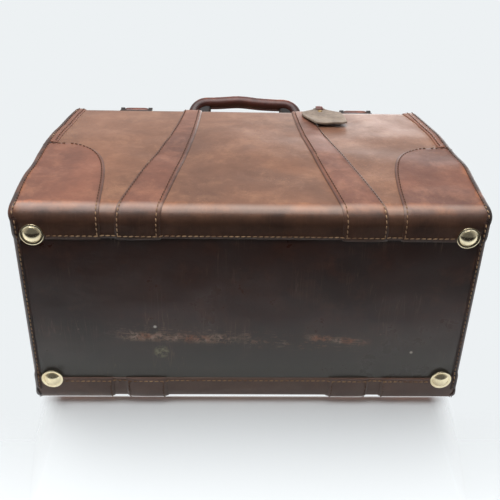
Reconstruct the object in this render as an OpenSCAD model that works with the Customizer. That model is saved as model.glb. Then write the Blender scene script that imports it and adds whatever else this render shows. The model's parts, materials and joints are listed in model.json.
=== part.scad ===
// Gladstone travel bag that stands on four studs.
// X runs along the bag, the front with the lock faces -Y, and Z = 0 is the plane the studs rest on.

/* [Body] */
// Length of the bag at its base
base_length = 440; // [410:5:480]
// Depth of the bag at its base, front to back
base_depth = 220; // [205:5:240]
// How much shorter the bag is at its shoulder
shoulder_taper = 30; // [24:2:36]
// How much shallower the bag is at its shoulder
shoulder_lean = 24; // [18:2:30]
// Height of the shoulder above the floor
shoulder_height = 282; // [276:1:290]
// Thickness of the body leather
leather = 3; // [2:0.5:4]
// Radius of the bend between a face and the base
bend_radius = 14; // [11:1:18]
// Radius of the bottom corners seen from the front
end_radius = 6; // [5:1:9]
// How far a face bellies out halfway up
face_crown = 3; // [0:0.5:5]
// Thickness of the lining
lining_cloth = 1; // [0.6:0.2:1.4]

/* [Base] */
// Width of the strip that each face turns under the base
face_wrap = 24; // [22:1:30]
// Thickness of the board inside the base
board_thickness = 4; // [3:0.5:6]
// Distance from a stud's middle to the end of the bag
stud_inset = 19; // [18:1:26]
// Height of the base above the floor
foot_height = 6; // [5:0.5:8]
// Diameter of a stud's flange
stud_flange_d = 22; // [19:1:24]
// Thickness of a stud's flange
stud_flange_t = 1.1; // [0.8:0.1:1.4]
// Diameter of a stud's dome
stud_dome_d = 17; // [13:1:18]
// Diameter of a stud's shank
stud_shank_d = 5; // [4:0.5:6]

/* [Bands and patches] */
// Thickness of the bands, patches and edge strips
trim_leather = 1.6; // [1.2:0.1:2]
// Distance from the middle to a band's inner edge at the base
band_foot_inner = 84; // [78:1:88]
// Width of a band at the base
band_foot_width = 42; // [38:1:46]
// Distance from the middle to a band's inner edge at the shoulder
band_top_inner = 54; // [50:0.5:58]
// Width of a band at the shoulder
band_top_width = 22; // [18:0.5:24]
// Length of a corner patch at the base
patch_length = 81; // [76:1:86]
// Height of a corner patch
patch_height = 158; // [146:2:170]
// How far a corner patch reaches round onto the end
patch_return = 46; // [36:2:60]
// Width of an end edge strip on each side of the edge
edge_strip_width = 13; // [9:1:15]

/* [Pocket] */
// Length of the inner pocket
pocket_length = 200; // [150:10:240]
// Height of the inner pocket
pocket_height = 110; // [90:5:130]
// Thickness of the inner pocket
pocket_thickness = 2.5; // [2:0.5:4]

/* [Frame] */
// Height of the pivots above the floor
pivot_height = 262; // [260:1:264]
// Height of the jaws' top above the floor
frame_height = 336; // [334:1:340]
// How far the jaws' leather covers stay back from each end of the shoulder
cover_inset = 11; // [10.5:0.5:13]
// Depth of one jaw, from the middle to its outer side
jaw_depth = 24; // [22:0.5:26]
// Thickness of the jaw steel
steel = 3; // [2.5:0.5:3]
// Height of the jaw's upright web
web_height = 18; // [16:1:20]
// Gap between the two steel jaws
jaw_gap = 1.2; // [1:0.2:2]
// Diameter of the pivot pins
pivot_pin_d = 6; // [5:0.5:7]
// Diameter of the eye at the foot of a jaw's leg
pivot_eye_d = 16; // [14:1:18]

/* [Handles] */
// Distance between the middles of a handle's two eyes
handle_span = 136; // [130:2:140]
// Diameter of the rolled leather
roll_d = 15; // [14:1:17]
// Height of the roll above the handle's pins
handle_rise = 60; // [56:1:64]
// Lean of a handle away from upright
handle_lean = 40; // [36:1:44]
// Radius of the bends between the roll and its legs
handle_bend = 18; // [16:1:22]
// Width of the flat chape that joins a leg to the roll
chape_width = 30; // [26:1:32]
// Thickness of a chape
chape_t = 5; // [4:0.5:6]
// Diameter of the handle pins
handle_pin_d = 5; // [4:0.5:6]

/* [Lock] */
// Length of the lock case
lock_length = 54; // [50:1:60]
// Height of the lock case
lock_height = 12.5; // [11.5:0.5:12.5]
// Depth of the lock case
lock_depth = 12; // [11:0.5:13]
// Width of the hasp
hasp_width = 24; // [20:1:28]
// Thickness of the hasp
hasp_t = 2; // [1.5:0.25:2.25]
// Travel of the bolt
bolt_travel = 6; // [5:0.5:7]

/* [Straps] */
// Distance from an end of the shoulder to the middle of the nearer strap
strap_inset = 70.5; // [68:0.5:74]
// Width of the straps
strap_width = 28; // [24:1:30]
// Thickness of the straps
strap_t = 3; // [2.5:0.25:3.5]
// Width of a strap's anchor
anchor_width = 38; // [36:1:42]
// Diameter of the pins in the anchors
anchor_pin_d = 4; // [3:0.5:5]
// Thickness of the buckle wire
buckle_wire = 4; // [3:0.5:5]

/* [Tag] */
// Distance from the middle to the tag
tag_x = 88; // [84:1:94]
// Width of the tag
tag_width = 48; // [40:1:54]
// Length of the tag
tag_length = 58; // [50:1:70]
// Thickness of the tag
tag_t = 2.4; // [2:0.2:3]

/* [Fits] */
// Gap between pieces that move past each other
seat_gap = 0.4; // [0.3:0.1:0.6]
// Radial clearance of a pin in its hole
pin_clearance = 0.06; // [0.04:0.01:0.08]

/* [Hidden] */
$fn = 48;

half_length = base_length / 2;
half_depth = base_depth / 2;
half_shoulder = half_length - shoulder_taper / 2;
shoulder_y = half_depth - shoulder_lean / 2;
cover_length = 2 * (half_shoulder - cover_inset);
bend_z = foot_height + bend_radius;
seam_y = half_depth - face_wrap;
stud_x = half_length - stud_inset;
board_z = foot_height + leather;
floor_z = board_z + board_thickness;
outline_steps = 10;
past = 1;
far = 600;

// Share of the way from the bend up to the shoulder
function up(z) = (z - bend_z) / (shoulder_height - bend_z);
// Outer half depth of the body at a height
function face_y(z) = half_depth + (shoulder_y - half_depth) * up(z) + face_crown * sin(180 * up(z));
// Outer half length of the body at a height
function end_x(z) = half_length + (half_shoulder - half_length) * pow(max(up(z), 0), 2);
function level(i) = bend_z + (shoulder_height - bend_z) * i / outline_steps;
function bezier(a, b, c, d, t) =
    a * pow(1 - t, 3) + 3 * b * t * pow(1 - t, 2) + 3 * c * t * t * (1 - t) + d * pow(t, 3);
function mirrored(points) = [for (i = [len(points) - 1:-1:0]) [-points[i].x, points[i].y]];

// Solid along X from an outline drawn in Y and Z, and along Y from one drawn in X and Z
module along_x(length = far) rotate([90, 0, 90]) linear_extrude(length, center = true) children();
module along_y(length = far) rotate([90, 0, 0]) linear_extrude(length, center = true) children();

// Outline of the body seen from the end, grown outwards, and lengthened past its top
module side_outline(grow = 0, top = 0) {
    points = concat(
        [for (a = [-90:15:0]) [
            half_depth - bend_radius + (bend_radius + grow) * cos(a),
            bend_z + (bend_radius + grow) * sin(a)
        ]],
        [for (i = [1:outline_steps]) [
            face_y(level(i)) + grow,
            level(i) + (i == outline_steps ? top : 0)
        ]]
    );
    polygon(concat(points, mirrored(points)));
}

// Outline of the body seen from the front
module front_outline(grow = 0, top = 0) {
    corner_z = foot_height + end_radius;
    points = concat(
        [for (a = [-90:18:0]) [
            half_length - end_radius + (end_radius + grow) * cos(a),
            corner_z + (end_radius + grow) * sin(a)
        ]],
        [for (i = [0:outline_steps]) [
            end_x(level(i)) + grow,
            level(i) + (i == outline_steps ? top : 0)
        ]]
    );
    polygon(concat(points, mirrored(points)));
}

// The closed form of the body, grown outwards or inwards
module form(grow = 0, top = 0) {
    intersection() {
        along_x() side_outline(grow, top);
        along_y() front_outline(grow, top);
    }
}

module above(z) translate([-far / 2, -far / 2, z]) cube(far);
module behind(y) translate([-far / 2, y, -far / 2]) cube(far);
module on_side(side) mirror([side < 0 ? 1 : 0, 0, 0]) children();
module on_face(face) mirror([0, face < 0 ? 1 : 0, 0]) children();
module on_both_sides() {
    for (side = [-1, 1])
        on_side(side) children();
}
module at_studs() {
    for (x = [-1, 1], y = [-1, 1])
        translate([x * stud_x, y * seam_y, 0]) children();
}
module shank_holes() at_studs() cylinder(d = stud_shank_d + 2 * pin_clearance, h = floor_z + past);

// Body leather

module base_panel() {
    color([0.15, 0.11, 0.1])
    difference() {
        intersection() {
            along_y(2 * seam_y) front_outline();
            translate([-far / 2, -far / 2, foot_height]) cube([far, far, leather]);
        }
        shank_holes();
    }
}

module face_panel(face) {
    color([0.5, 0.36, 0.28])
    on_face(face)
    difference() {
        intersection() {
            form();
            behind(seam_y);
        }
        along_x() side_outline(-leather, past);
        shank_holes();
    }
}

module end_panel(side) {
    color([0.3, 0.2, 0.16])
    on_side(side)
    difference() {
        intersection() {
            along_y() front_outline();
            along_x() side_outline(-leather);
            above(board_z);
            translate([half_shoulder / 2, -far / 2, 0]) cube(far);
        }
        along_y() front_outline(-leather, past);
        pivot_hole();
    }
}

module base_board() {
    color([0.62, 0.5, 0.36])
    difference() {
        board_length = 2 * (half_length - leather - end_radius);
        board_depth = 2 * (half_depth - bend_radius);
        translate([-board_length / 2, -board_depth / 2, board_z])
            cube([board_length, board_depth, board_thickness]);
        shank_holes();
        at_studs() translate([0, 0, floor_z - washer_t])
            cylinder(d = washer_d + 2 * pin_clearance, h = past + washer_t);
    }
}

washer_d = 14;
washer_t = 1.5;
crown_flat_d = 6;

module foot_studs() {
    dome_h = foot_height - trim_leather - stud_flange_t;
    flange_z = dome_h;
    color([0.8, 0.7, 0.45])
    at_studs() rotate_extrude() polygon(concat(
        [[0, 0], [crown_flat_d / 2, 0]],
        [for (a = [15:15:90]) [
            crown_flat_d / 2 + (stud_dome_d - crown_flat_d) / 2 * sin(a),
            dome_h * (1 - cos(a))
        ]],
        [
            [stud_flange_d / 2 - 0.5, flange_z],
            [stud_flange_d / 2, flange_z + 0.4],
            [stud_flange_d / 2, flange_z + stud_flange_t],
            [stud_shank_d / 2, flange_z + stud_flange_t],
            [stud_shank_d / 2, floor_z - 0.2],
            [0, floor_z - 0.2]
        ]
    ));
}

module stud_washers() {
    color([0.6, 0.58, 0.5])
    at_studs() translate([0, 0, floor_z - washer_t]) difference() {
        cylinder(d = washer_d, h = washer_t);
        translate([0, 0, -past]) cylinder(d = stud_shank_d + 2 * pin_clearance, h = washer_t + 2 * past);
    }
}

module lining() {
    color([0.55, 0.45, 0.35])
    difference() {
        intersection() {
            form(-leather);
            above(floor_z);
        }
        intersection() {
            form(-leather - lining_cloth, past);
            above(floor_z + lining_cloth);
        }
        pivot_holes();
        pivot_bracket_seats();
    }
}

module inner_pocket() {
    pocket_z = bend_z + 90;
    color([0.5, 0.4, 0.3])
    intersection() {
        along_x(pocket_length) difference() {
            side_outline(-leather - lining_cloth);
            side_outline(-leather - lining_cloth - pocket_thickness, past);
        }
        translate([-far / 2, 0, pocket_z]) cube([far, far, pocket_height]);
    }
}

// Slope between the shoulder and the jaw covers

slope_top_y = jaw_depth + seat_gap;
slope_top_z = frame_height - 13.5;
slope_angle = atan2(slope_top_z - shoulder_height, shoulder_y - slope_top_y);
slope_leather_z = leather / cos(slope_angle);
cover_drop = 20;
cover_low = frame_height - cover_drop;
cover_bend_r = 5;
gusset_x = cover_length / 2 + seat_gap + leather;

module top_panel(face) {
    color([0.42, 0.28, 0.22])
    on_face(face)
    intersection() {
        along_x() polygon([
            [shoulder_y, shoulder_height],
            [slope_top_y, slope_top_z],
            [slope_top_y, slope_top_z - slope_leather_z],
            [shoulder_y - slope_leather_z / tan(slope_angle), shoulder_height]
        ]);
        along_y() polygon(concat(
            [[half_shoulder, shoulder_height], [gusset_x, cover_low], [gusset_x, frame_height]],
            [[-gusset_x, frame_height], [-gusset_x, cover_low], [-half_shoulder, shoulder_height]]
        ));
    }
}

module gusset(side) {
    inner_foot = shoulder_y - slope_leather_z / tan(slope_angle);
    gusset_top = frame_height - 2;
    color([0.28, 0.18, 0.15])
    on_side(side)
    intersection() {
        along_y() polygon([
            [half_shoulder, shoulder_height],
            [gusset_x, cover_low],
            [gusset_x, gusset_top],
            [gusset_x - leather, gusset_top],
            [gusset_x - leather, cover_low],
            [half_shoulder - leather, shoulder_height]
        ]);
        along_x() polygon([
            [inner_foot, shoulder_height],
            [slope_top_y, slope_top_z - slope_leather_z],
            [slope_top_y, gusset_top],
            [-slope_top_y, gusset_top],
            [-slope_top_y, slope_top_z - slope_leather_z],
            [-inner_foot, shoulder_height]
        ]);
    }
}

// Bands, patches and edge strips that lie on the body leather

module trim_skin() {
    difference() {
        form(trim_leather);
        along_x() side_outline(0, past);
        shank_holes();
    }
}

module band(face, side) {
    steps = 8;
    foot_z = foot_height - trim_leather;
    inner = [for (i = [0:steps]) bezier(
        [band_foot_inner, foot_z], [band_foot_inner - 8, shoulder_height * 0.21],
        [band_top_inner + 2, shoulder_height * 0.57], [band_top_inner, shoulder_height], i / steps
    )];
    outer = [for (i = [steps:-1:0]) bezier(
        [band_foot_inner + band_foot_width, foot_z],
        [band_foot_inner + band_foot_width - 10, shoulder_height * 0.25],
        [band_top_inner + band_top_width + 6, shoulder_height * 0.6],
        [band_top_inner + band_top_width, shoulder_height], i / steps
    )];
    color([0.47, 0.33, 0.26])
    on_face(face) on_side(side)
    intersection() {
        trim_skin();
        behind(seam_y);
        along_y() polygon(concat(inner, outer));
    }
}

module patch(face, side) {
    steps = 8;
    foot_z = foot_height - trim_leather;
    patch_foot = half_length - patch_length;
    edge = [for (i = [0:steps]) bezier(
        [patch_foot, foot_z], [patch_foot + 3, patch_height / 2],
        [patch_foot + 1, patch_height - 4], [patch_foot + 57, patch_height], i / steps
    )];
    color([0.44, 0.3, 0.24])
    on_face(face) on_side(side)
    difference() {
        intersection() {
            form(trim_leather);
            behind(half_depth - patch_return);
            along_y() polygon(concat(edge, [[far / 2, patch_height + 2], [far / 2, foot_z]]));
        }
        form();
        translate([0, -past, foot_height - far]) cube([far, seam_y + past, far]);
        shank_holes();
    }
}

module end_edge_strips() {
    foot = patch_height + 2;
    strip_steps = 5;
    rows = [for (i = [0:strip_steps]) foot + (shoulder_height - foot) * i / strip_steps];
    color([0.36, 0.25, 0.2])
    for (face = [-1, 1], side = [-1, 1])
        on_face(face) on_side(side)
        difference() {
            intersection() {
                along_x() polygon(concat(
                    [for (z = rows) [face_y(z) + trim_leather, z]],
                    [for (i = [strip_steps:-1:0]) [face_y(rows[i]) - edge_strip_width, rows[i]]]
                ));
                along_y() polygon(concat(
                    [for (z = rows) [end_x(z) + trim_leather, z]],
                    [for (i = [strip_steps:-1:0]) [end_x(rows[i]) - edge_strip_width, rows[i]]]
                ));
            }
            form(0, past);
        }
}

// Frame pivots

bracket_plate_t = 2;
bracket_width = 30;
bracket_height = 26;
pin_head_d = 14;
pin_head_t = 2.6;
layer_gap = 0.4;
bracket_x = end_x(pivot_height) - leather - lining_cloth - bracket_plate_t - 2;
pin_head_x = end_x(pivot_height) + 0.8;
outer_leg_x = cover_length / 2 - 1.2;
pivot_washer_t = 1.2;
pivot_washer_x = outer_leg_x - 2 * steel - 2 * layer_gap - pivot_washer_t;
pivot_inner_x = pivot_washer_x - 1.8;

module pivot_hole() {
    translate([pivot_inner_x - past, 0, pivot_height]) rotate([0, 90, 0])
        cylinder(d = pivot_pin_d + 2 * pin_clearance, h = half_length);
}
module pivot_holes() on_both_sides() pivot_hole();
module pivot_bracket_seats() {
    on_both_sides() translate([bracket_x, -bracket_width / 2 - 0.1, pivot_height - bracket_height / 2 - 0.1])
        cube([far, bracket_width + 0.2, bracket_height + 0.2]);
}

module pivot_brackets() {
    color([0.7, 0.7, 0.68])
    on_both_sides()
    difference() {
        intersection() {
            translate([bracket_x, -bracket_width / 2, pivot_height - bracket_height / 2])
                cube([half_length - bracket_x, bracket_width, bracket_height]);
            along_y() front_outline(-leather, past);
        }
        pivot_hole();
    }
}

module pivot_pins() {
    color([0.78, 0.68, 0.45])
    on_both_sides()
    translate([0, 0, pivot_height]) rotate([0, 90, 0]) {
        translate([0, 0, pivot_inner_x]) cylinder(d = pivot_pin_d, h = pin_head_x - pivot_inner_x + past);
        translate([0, 0, pin_head_x]) cylinder(d1 = pin_head_d, d2 = pin_head_d * 0.6, h = pin_head_t);
    }
}

module pivot_washers() {
    color([0.78, 0.68, 0.45])
    on_both_sides()
    translate([pivot_washer_x, 0, pivot_height]) rotate([0, 90, 0]) difference() {
        cylinder(d = pin_head_d, h = pivot_washer_t);
        translate([0, 0, -past]) cylinder(d = pivot_pin_d + 2 * pin_clearance, h = pivot_washer_t + 2 * past);
    }
}

// One steel jaw: an angle along the top with a leg and a pivot eye at each end
module jaw(face) {
    flange_top = frame_height - leather;
    flange_bottom = flange_top - steel;
    lip = jaw_gap / 2;
    leg_width = 12;
    leg_outer = outer_leg_x - (face < 0 ? steel + layer_gap : 0);
    eye_r = pivot_eye_d / 2;
    color([0.62, 0.63, 0.65])
    on_face(face)
    difference() {
        union() {
            along_x(2 * leg_outer) polygon([
                [lip, flange_top],
                [jaw_depth - leather - seat_gap, flange_top],
                [jaw_depth - leather - seat_gap, flange_bottom],
                [lip + steel, flange_bottom],
                [lip + steel, flange_top - web_height],
                [lip, flange_top - web_height]
            ]);
            on_both_sides() translate([leg_outer - steel / 2, 0, 0]) along_x(steel) {
                polygon([
                    [lip, flange_top - steel / 2],
                    [lip + leg_width, flange_top - steel / 2],
                    [lip + leg_width, flange_top - web_height - 6],
                    [eye_r, pivot_height],
                    [-eye_r, pivot_height],
                    [-eye_r, pivot_height + 14],
                    [lip, (pivot_height + frame_height) / 2]
                ]);
                translate([0, pivot_height]) circle(r = eye_r);
            }
        }
        on_both_sides() pivot_hole();
    }
}

// Leather that wraps a jaw
module jaw_cover(face) {
    lip = jaw_gap / 4;
    inner_y = jaw_depth - leather;
    inner_z = frame_height - leather;
    color([0.3, 0.18, 0.14])
    on_face(face)
    along_x(cover_length) polygon(concat(
        [[lip, frame_height]],
        [for (a = [90:-15:0]) [
            jaw_depth - cover_bend_r + cover_bend_r * cos(a),
            frame_height - cover_bend_r + cover_bend_r * sin(a)
        ]],
        [[jaw_depth, cover_low], [inner_y, cover_low], [inner_y, inner_z], [lip, inner_z]]
    ));
}

// Handles on their brackets

bracket_ear_t = 3;
eye_length = 18;
handle_eye_d = 13;
bracket_base_t = 2;
handle_pin_y = jaw_depth + bracket_base_t + handle_eye_d / 2 + seat_gap;
handle_pin_z = frame_height - 6;
ear_x = eye_length / 2 + seat_gap;

module at_handle_pin(face) on_face(face) translate([0, handle_pin_y, handle_pin_z]) children();
module handle_ends(face) {
    at_handle_pin(face) for (side = [-1, 1])
        translate([side * handle_span / 2, 0, 0]) children();
}
module pin_along_x(d, length) rotate([0, 90, 0]) cylinder(d = d, h = length, center = true);

module handle_brackets(face) {
    ear_d = handle_eye_d;
    color([0.78, 0.68, 0.45])
    handle_ends(face)
    difference() {
        union() {
            base_w = 2 * (ear_x + bracket_ear_t);
            translate([-base_w / 2, jaw_depth - handle_pin_y, -6]) cube([base_w, bracket_base_t, 7]);
            for (side = [-1, 1]) translate([side * (ear_x + bracket_ear_t / 2), 0, 0]) {
                pin_along_x(ear_d, bracket_ear_t);
                translate([-bracket_ear_t / 2, jaw_depth - handle_pin_y, -6])
                    cube([bracket_ear_t, handle_pin_y - jaw_depth, 7]);
            }
        }
        pin_along_x(handle_pin_d + 2 * pin_clearance, 2 * handle_span / 3);
    }
}

module handle_pins(face) {
    color([0.85, 0.75, 0.5])
    handle_ends(face) {
        pin_along_x(handle_pin_d, 2 * (ear_x + bracket_ear_t) + 2);
        for (side = [-1, 1]) translate([side * (ear_x + bracket_ear_t + 1.2), 0, 0])
            pin_along_x(handle_pin_d + 3, 1.6);
    }
}

// Flat leather that spreads from a leg to the underside of the roll
module chape(side) {
    edge_x = handle_span / 2;
    inner_x = edge_x + roll_d / 2 - chape_width;
    translate([0, chape_t / 2, 0]) rotate([90, 0, 0]) linear_extrude(chape_t) polygon([
        [side * edge_x, handle_eye_d / 2 + 4],
        [side * (edge_x - eye_length / 2), handle_eye_d / 2 + 4],
        [side * inner_x, handle_rise - roll_d - 4],
        [side * inner_x, handle_rise - roll_d / 4],
        [side * (edge_x - handle_bend), handle_rise],
        [side * edge_x, handle_rise - handle_bend]
    ]);
}

module handle(face) {
    roll_r = roll_d / 2;
    leg_r = roll_r - 2.5;
    leg_top = handle_rise - handle_bend;
    color([0.36, 0.19, 0.14])
    at_handle_pin(face) rotate([-handle_lean, 0, 0])
    difference() {
        union() {
            for (side = [-1, 1]) translate([side * handle_span / 2, 0, 0]) {
                pin_along_x(handle_eye_d, eye_length);
                cylinder(r1 = leg_r, r2 = roll_r, h = leg_top);
                translate([-side * handle_bend, 0, leg_top]) rotate([90, 0, 0])
                    mirror([side < 0 ? 1 : 0, 0, 0])
                    rotate_extrude(angle = 90) translate([handle_bend, 0]) circle(r = roll_r);
            }
            translate([0, 0, handle_rise]) pin_along_x(roll_d, handle_span - 2 * handle_bend);
            for (side = [-1, 1]) chape(side);
        }
        pin_along_x(handle_pin_d + 2 * pin_clearance, 2 * handle_span);
    }
}

// Lock on the front jaw, hasp on the back jaw

hasp_under = frame_height + seat_gap;
hasp_pin_y = 12;
hasp_pin_d = 2.4;
hasp_knuckle_d = 5.4;
hasp_plate_t = 1.2;
hasp_plate_back = 19;
hasp_pin_z = frame_height + hasp_plate_t + hasp_knuckle_d / 2;
knuckle_w = hasp_width / 2;
prong_w = hasp_width / 2 - 1;
prong_t = 4.4;
prong_depth = 5;
prong_y = -jaw_depth - 3.6;
prong_room = 0.6;
prong_mid_y = prong_y - prong_t / 2;
bolt_d = 2;
bolt_z = frame_height - 2.8;
bolt_rest_x = prong_w / 2 + 0.9;
bolt_length = 10;
knob_shank_x = bolt_rest_x + bolt_length - 1.4;
knob_d = 5;
knob_h = 3;
case_top = frame_height - 0.2;
case_front = -jaw_depth - lock_depth;
keyhole_z = case_top - lock_height * 0.55;
keyhole_d = 2.4;

module lock_case() {
    pocket_front = prong_y - prong_t - 2 * prong_room;
    pocket_floor = case_top - prong_depth - 3;
    slot_half = bolt_d / 2 + seat_gap;
    color([0.8, 0.7, 0.46])
    difference() {
        union() {
            translate([-lock_length / 2, case_front, case_top - lock_height])
                cube([lock_length, lock_depth, lock_height]);
            translate([0, case_front + past, keyhole_z]) rotate([90, 0, 0])
                cylinder(d = lock_height * 0.6, h = past + 0.9);
        }
        // Pocket that takes the hasp's prong from above
        translate([-prong_w / 2 - prong_room, pocket_front, pocket_floor])
            cube([prong_w + 2 * prong_room, -jaw_depth - pocket_front + past, lock_height]);
        // Bore of the bolt
        translate([0, prong_mid_y, bolt_z]) pin_along_x(bolt_d + 2 * pin_clearance, 2 * (knob_shank_x + 3));
        // Slot of the thumb knob
        translate([knob_shank_x - bolt_travel - slot_half, case_front - past, bolt_z - slot_half])
            cube([bolt_travel + 2 * slot_half, prong_mid_y - case_front + past, 2 * slot_half]);
        // Keyhole
        translate([0, case_front - past, keyhole_z]) rotate([-90, 0, 0]) cylinder(d = keyhole_d, h = 5);
        translate([-keyhole_d / 4, case_front - past, keyhole_z - keyhole_d * 1.3])
            cube([keyhole_d / 2, 5, keyhole_d * 1.3]);
    }
}

module lock_bolt() {
    color([0.86, 0.77, 0.5])
    {
        translate([bolt_rest_x + bolt_length / 2, prong_mid_y, bolt_z]) pin_along_x(bolt_d, bolt_length);
        translate([knob_shank_x, prong_mid_y, bolt_z]) rotate([90, 0, 0])
            cylinder(d = bolt_d, h = prong_mid_y - case_front + past);
        translate([knob_shank_x, case_front - seat_gap, bolt_z]) rotate([90, 0, 0])
            cylinder(d1 = knob_d, d2 = knob_d - 1.2, h = knob_h);
    }
}

module hasp_hinge() {
    plate_w = hasp_width + 12;
    notch_w = knuckle_w + 2 * seat_gap;
    side_w = (plate_w - notch_w) / 2;
    color([0.8, 0.7, 0.46])
    difference() {
        union() {
            translate([-plate_w / 2, hasp_pin_y - 2, frame_height])
                cube([plate_w, hasp_plate_back - hasp_pin_y + 2, hasp_plate_t]);
            on_both_sides() translate([plate_w / 2 - side_w / 2, hasp_pin_y, hasp_pin_z]) {
                pin_along_x(hasp_knuckle_d, side_w);
                translate([-side_w / 2, -hasp_knuckle_d / 2, frame_height - hasp_pin_z])
                    cube([side_w, hasp_knuckle_d, hasp_pin_z - frame_height]);
            }
        }
        // Notch for the hasp's own knuckle
        translate([-notch_w / 2, hasp_pin_y - 2 - past, frame_height - past])
            cube([notch_w, hasp_knuckle_d / 2 + 2 + seat_gap + past, hasp_plate_t + 2 * past]);
        translate([0, hasp_pin_y, hasp_pin_z]) pin_along_x(hasp_pin_d + 2 * pin_clearance, 2 * plate_w);
    }
}

module hasp_pin() {
    color([0.86, 0.77, 0.5])
    translate([0, hasp_pin_y, hasp_pin_z]) pin_along_x(hasp_pin_d, hasp_width + 13);
}

module hasp() {
    hasp_end = prong_y - prong_t - 1.6;
    plate_start = hasp_pin_y - hasp_knuckle_d / 2 - 4;
    round_y = hasp_end + hasp_width / 2;
    color([0.82, 0.72, 0.47])
    difference() {
        union() {
            translate([0, hasp_pin_y, hasp_pin_z]) pin_along_x(hasp_knuckle_d, knuckle_w);
            translate([-knuckle_w / 2, 0, hasp_under]) cube([knuckle_w, hasp_pin_y, hasp_t]);
            translate([0, 0, hasp_under]) linear_extrude(hasp_t) {
                translate([-hasp_width / 2, round_y]) square([hasp_width, plate_start - round_y]);
                translate([0, round_y]) circle(d = hasp_width);
            }
        }
        translate([0, hasp_pin_y, hasp_pin_z]) pin_along_x(hasp_pin_d + 2 * pin_clearance, 2 * hasp_width);
    }
}

// Loop under the hasp that drops into the lock and takes the bolt
module hasp_staple() {
    loop_low = case_top - prong_depth;
    inner = bolt_d + 2 * seat_gap;
    color([0.8, 0.7, 0.45])
    translate([-prong_w / 2, prong_y - prong_t, 0])
    difference() {
        translate([0, 0, loop_low]) cube([prong_w, prong_t, hasp_under - loop_low]);
        translate([-past, (prong_t - inner) / 2, bolt_z - inner / 2])
            cube([prong_w + 2 * past, inner, prong_depth + past]);
    }
}

// Straps: an anchor near each shoulder, the long strap with its buckle from the back, the billet at the front

strap_eye_d = 10;
anchor_base_t = 2.4;
anchor_foot = 2;
anchor_reach = 24;
anchor_pin_along = 14;
anchor_pin_lift = anchor_base_t + seat_gap + strap_eye_d / 2;
anchor_pin_y = shoulder_y - anchor_pin_along * cos(slope_angle) + anchor_pin_lift * sin(slope_angle);
anchor_pin_z = shoulder_height + anchor_pin_along * sin(slope_angle) + anchor_pin_lift * cos(slope_angle);
cheek_d = 15;
cheek_x = strap_width / 2 + seat_gap;
cheek_t = anchor_width / 2 - cheek_x;
strap_over_z = frame_height + seat_gap;
strap_mid_z = strap_over_z + strap_t / 2;
strap_corner_y = jaw_depth - 1.5;
strap_x = half_shoulder - strap_inset;
strap_angle = atan2(strap_mid_z - anchor_pin_z, anchor_pin_y - strap_corner_y);
// Buckle at a strap's end, and the room between it and the front anchor's pin
buckle_length = 30;
pin_room = 14.3;
pin_down = buckle_length + pin_room;
strap_end_y = pin_down * cos(strap_angle) - anchor_pin_y;
strap_end_z = strap_mid_z + (strap_corner_y + strap_end_y) * tan(strap_angle);
billet_t = 2.4;
billet_gap = 0.3;
keeper_y = -8;

module at_anchor_pin(face) on_face(face) translate([0, anchor_pin_y, anchor_pin_z]) children();
module at_straps() {
    for (side = [-1, 1])
        translate([side * strap_x, 0, 0]) children();
}
// Frame on the slope: Y runs down the slope towards the shoulder, Z stands out of it
module on_slope(face, along) {
    on_face(face) translate([0, shoulder_y, shoulder_height]) rotate([-slope_angle, 0, 0])
        translate([0, -along, 0]) children();
}

module anchors(face) {
    color([0.4, 0.18, 0.14])
    at_straps() difference() {
        on_slope(face, anchor_pin_along) {
            on_both_sides() translate([cheek_x + cheek_t / 2, 0, anchor_pin_lift]) {
                pin_along_x(cheek_d, cheek_t);
                translate([-cheek_t / 2, -cheek_d / 2, -anchor_pin_lift])
                    cube([cheek_t, cheek_d, anchor_pin_lift]);
            }
            along_x(anchor_width) polygon([
                [anchor_pin_along - anchor_foot, 0],
                [anchor_pin_along - anchor_foot - 1.5, anchor_base_t],
                [anchor_pin_along - anchor_foot - anchor_reach + 1.5, anchor_base_t],
                [anchor_pin_along - anchor_foot - anchor_reach, 0]
            ]);
        }
        at_anchor_pin(face) pin_along_x(anchor_pin_d + 2 * pin_clearance, anchor_width + 4);
    }
}

module anchor_pins(face) {
    color([0.78, 0.68, 0.45])
    at_straps() at_anchor_pin(face) pin_along_x(anchor_pin_d, anchor_width);
}

// Point beside the strap's end, measured down the front slope and out of it
function front_point(down, out) =
    [strap_end_y - down * cos(strap_angle) - out * sin(strap_angle),
     strap_end_z - down * sin(strap_angle) + out * cos(strap_angle)];

// Side outline of the strap: back slope, top and front slope, drawn in Y and Z
module strap_outline() {
    side = [sin(strap_angle), cos(strap_angle)] * strap_t / 2;
    bend = strap_t / 2 * tan(strap_angle / 2);
    polygon([
        [anchor_pin_y, anchor_pin_z] + side,
        [strap_corner_y + bend, strap_mid_z + strap_t / 2],
        [-strap_corner_y - bend, strap_mid_z + strap_t / 2],
        front_point(0, strap_t / 2),
        front_point(0, -strap_t / 2),
        [-strap_corner_y + bend, strap_mid_z - strap_t / 2],
        [strap_corner_y - bend, strap_mid_z - strap_t / 2],
        [anchor_pin_y, anchor_pin_z] - side
    ]);
}

module strap(side) {
    color([0.42, 0.2, 0.15])
    translate([side * strap_x, 0, 0])
    difference() {
        union() {
            along_x(strap_width) strap_outline();
            at_anchor_pin(1) pin_along_x(strap_eye_d, strap_width);
        }
        at_anchor_pin(1) pin_along_x(anchor_pin_d + 2 * pin_clearance, 2 * strap_width);
        at_buckle_bar() pin_along_x(tongue_eye_d + 2 * seat_gap, tongue_eye_w + 2 * seat_gap);
    }
}

// Buckle, drawn flat and laid along the front slope
buckle_inner = strap_width + 2;
buckle_corner = 5;
buckle_t = buckle_wire * 0.8;
bar_d = 2.4;
tongue_d = 2.6;
tongue_eye_d = 5;
tongue_eye_w = 4;

module on_front_slope(down) {
    centre = front_point(down, 0);
    translate([0, centre.x, centre.y]) rotate([strap_angle, 0, 0]) children();
}
module at_buckle_bar() on_front_slope(buckle_wire / 2 + 0.2) children();

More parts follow.
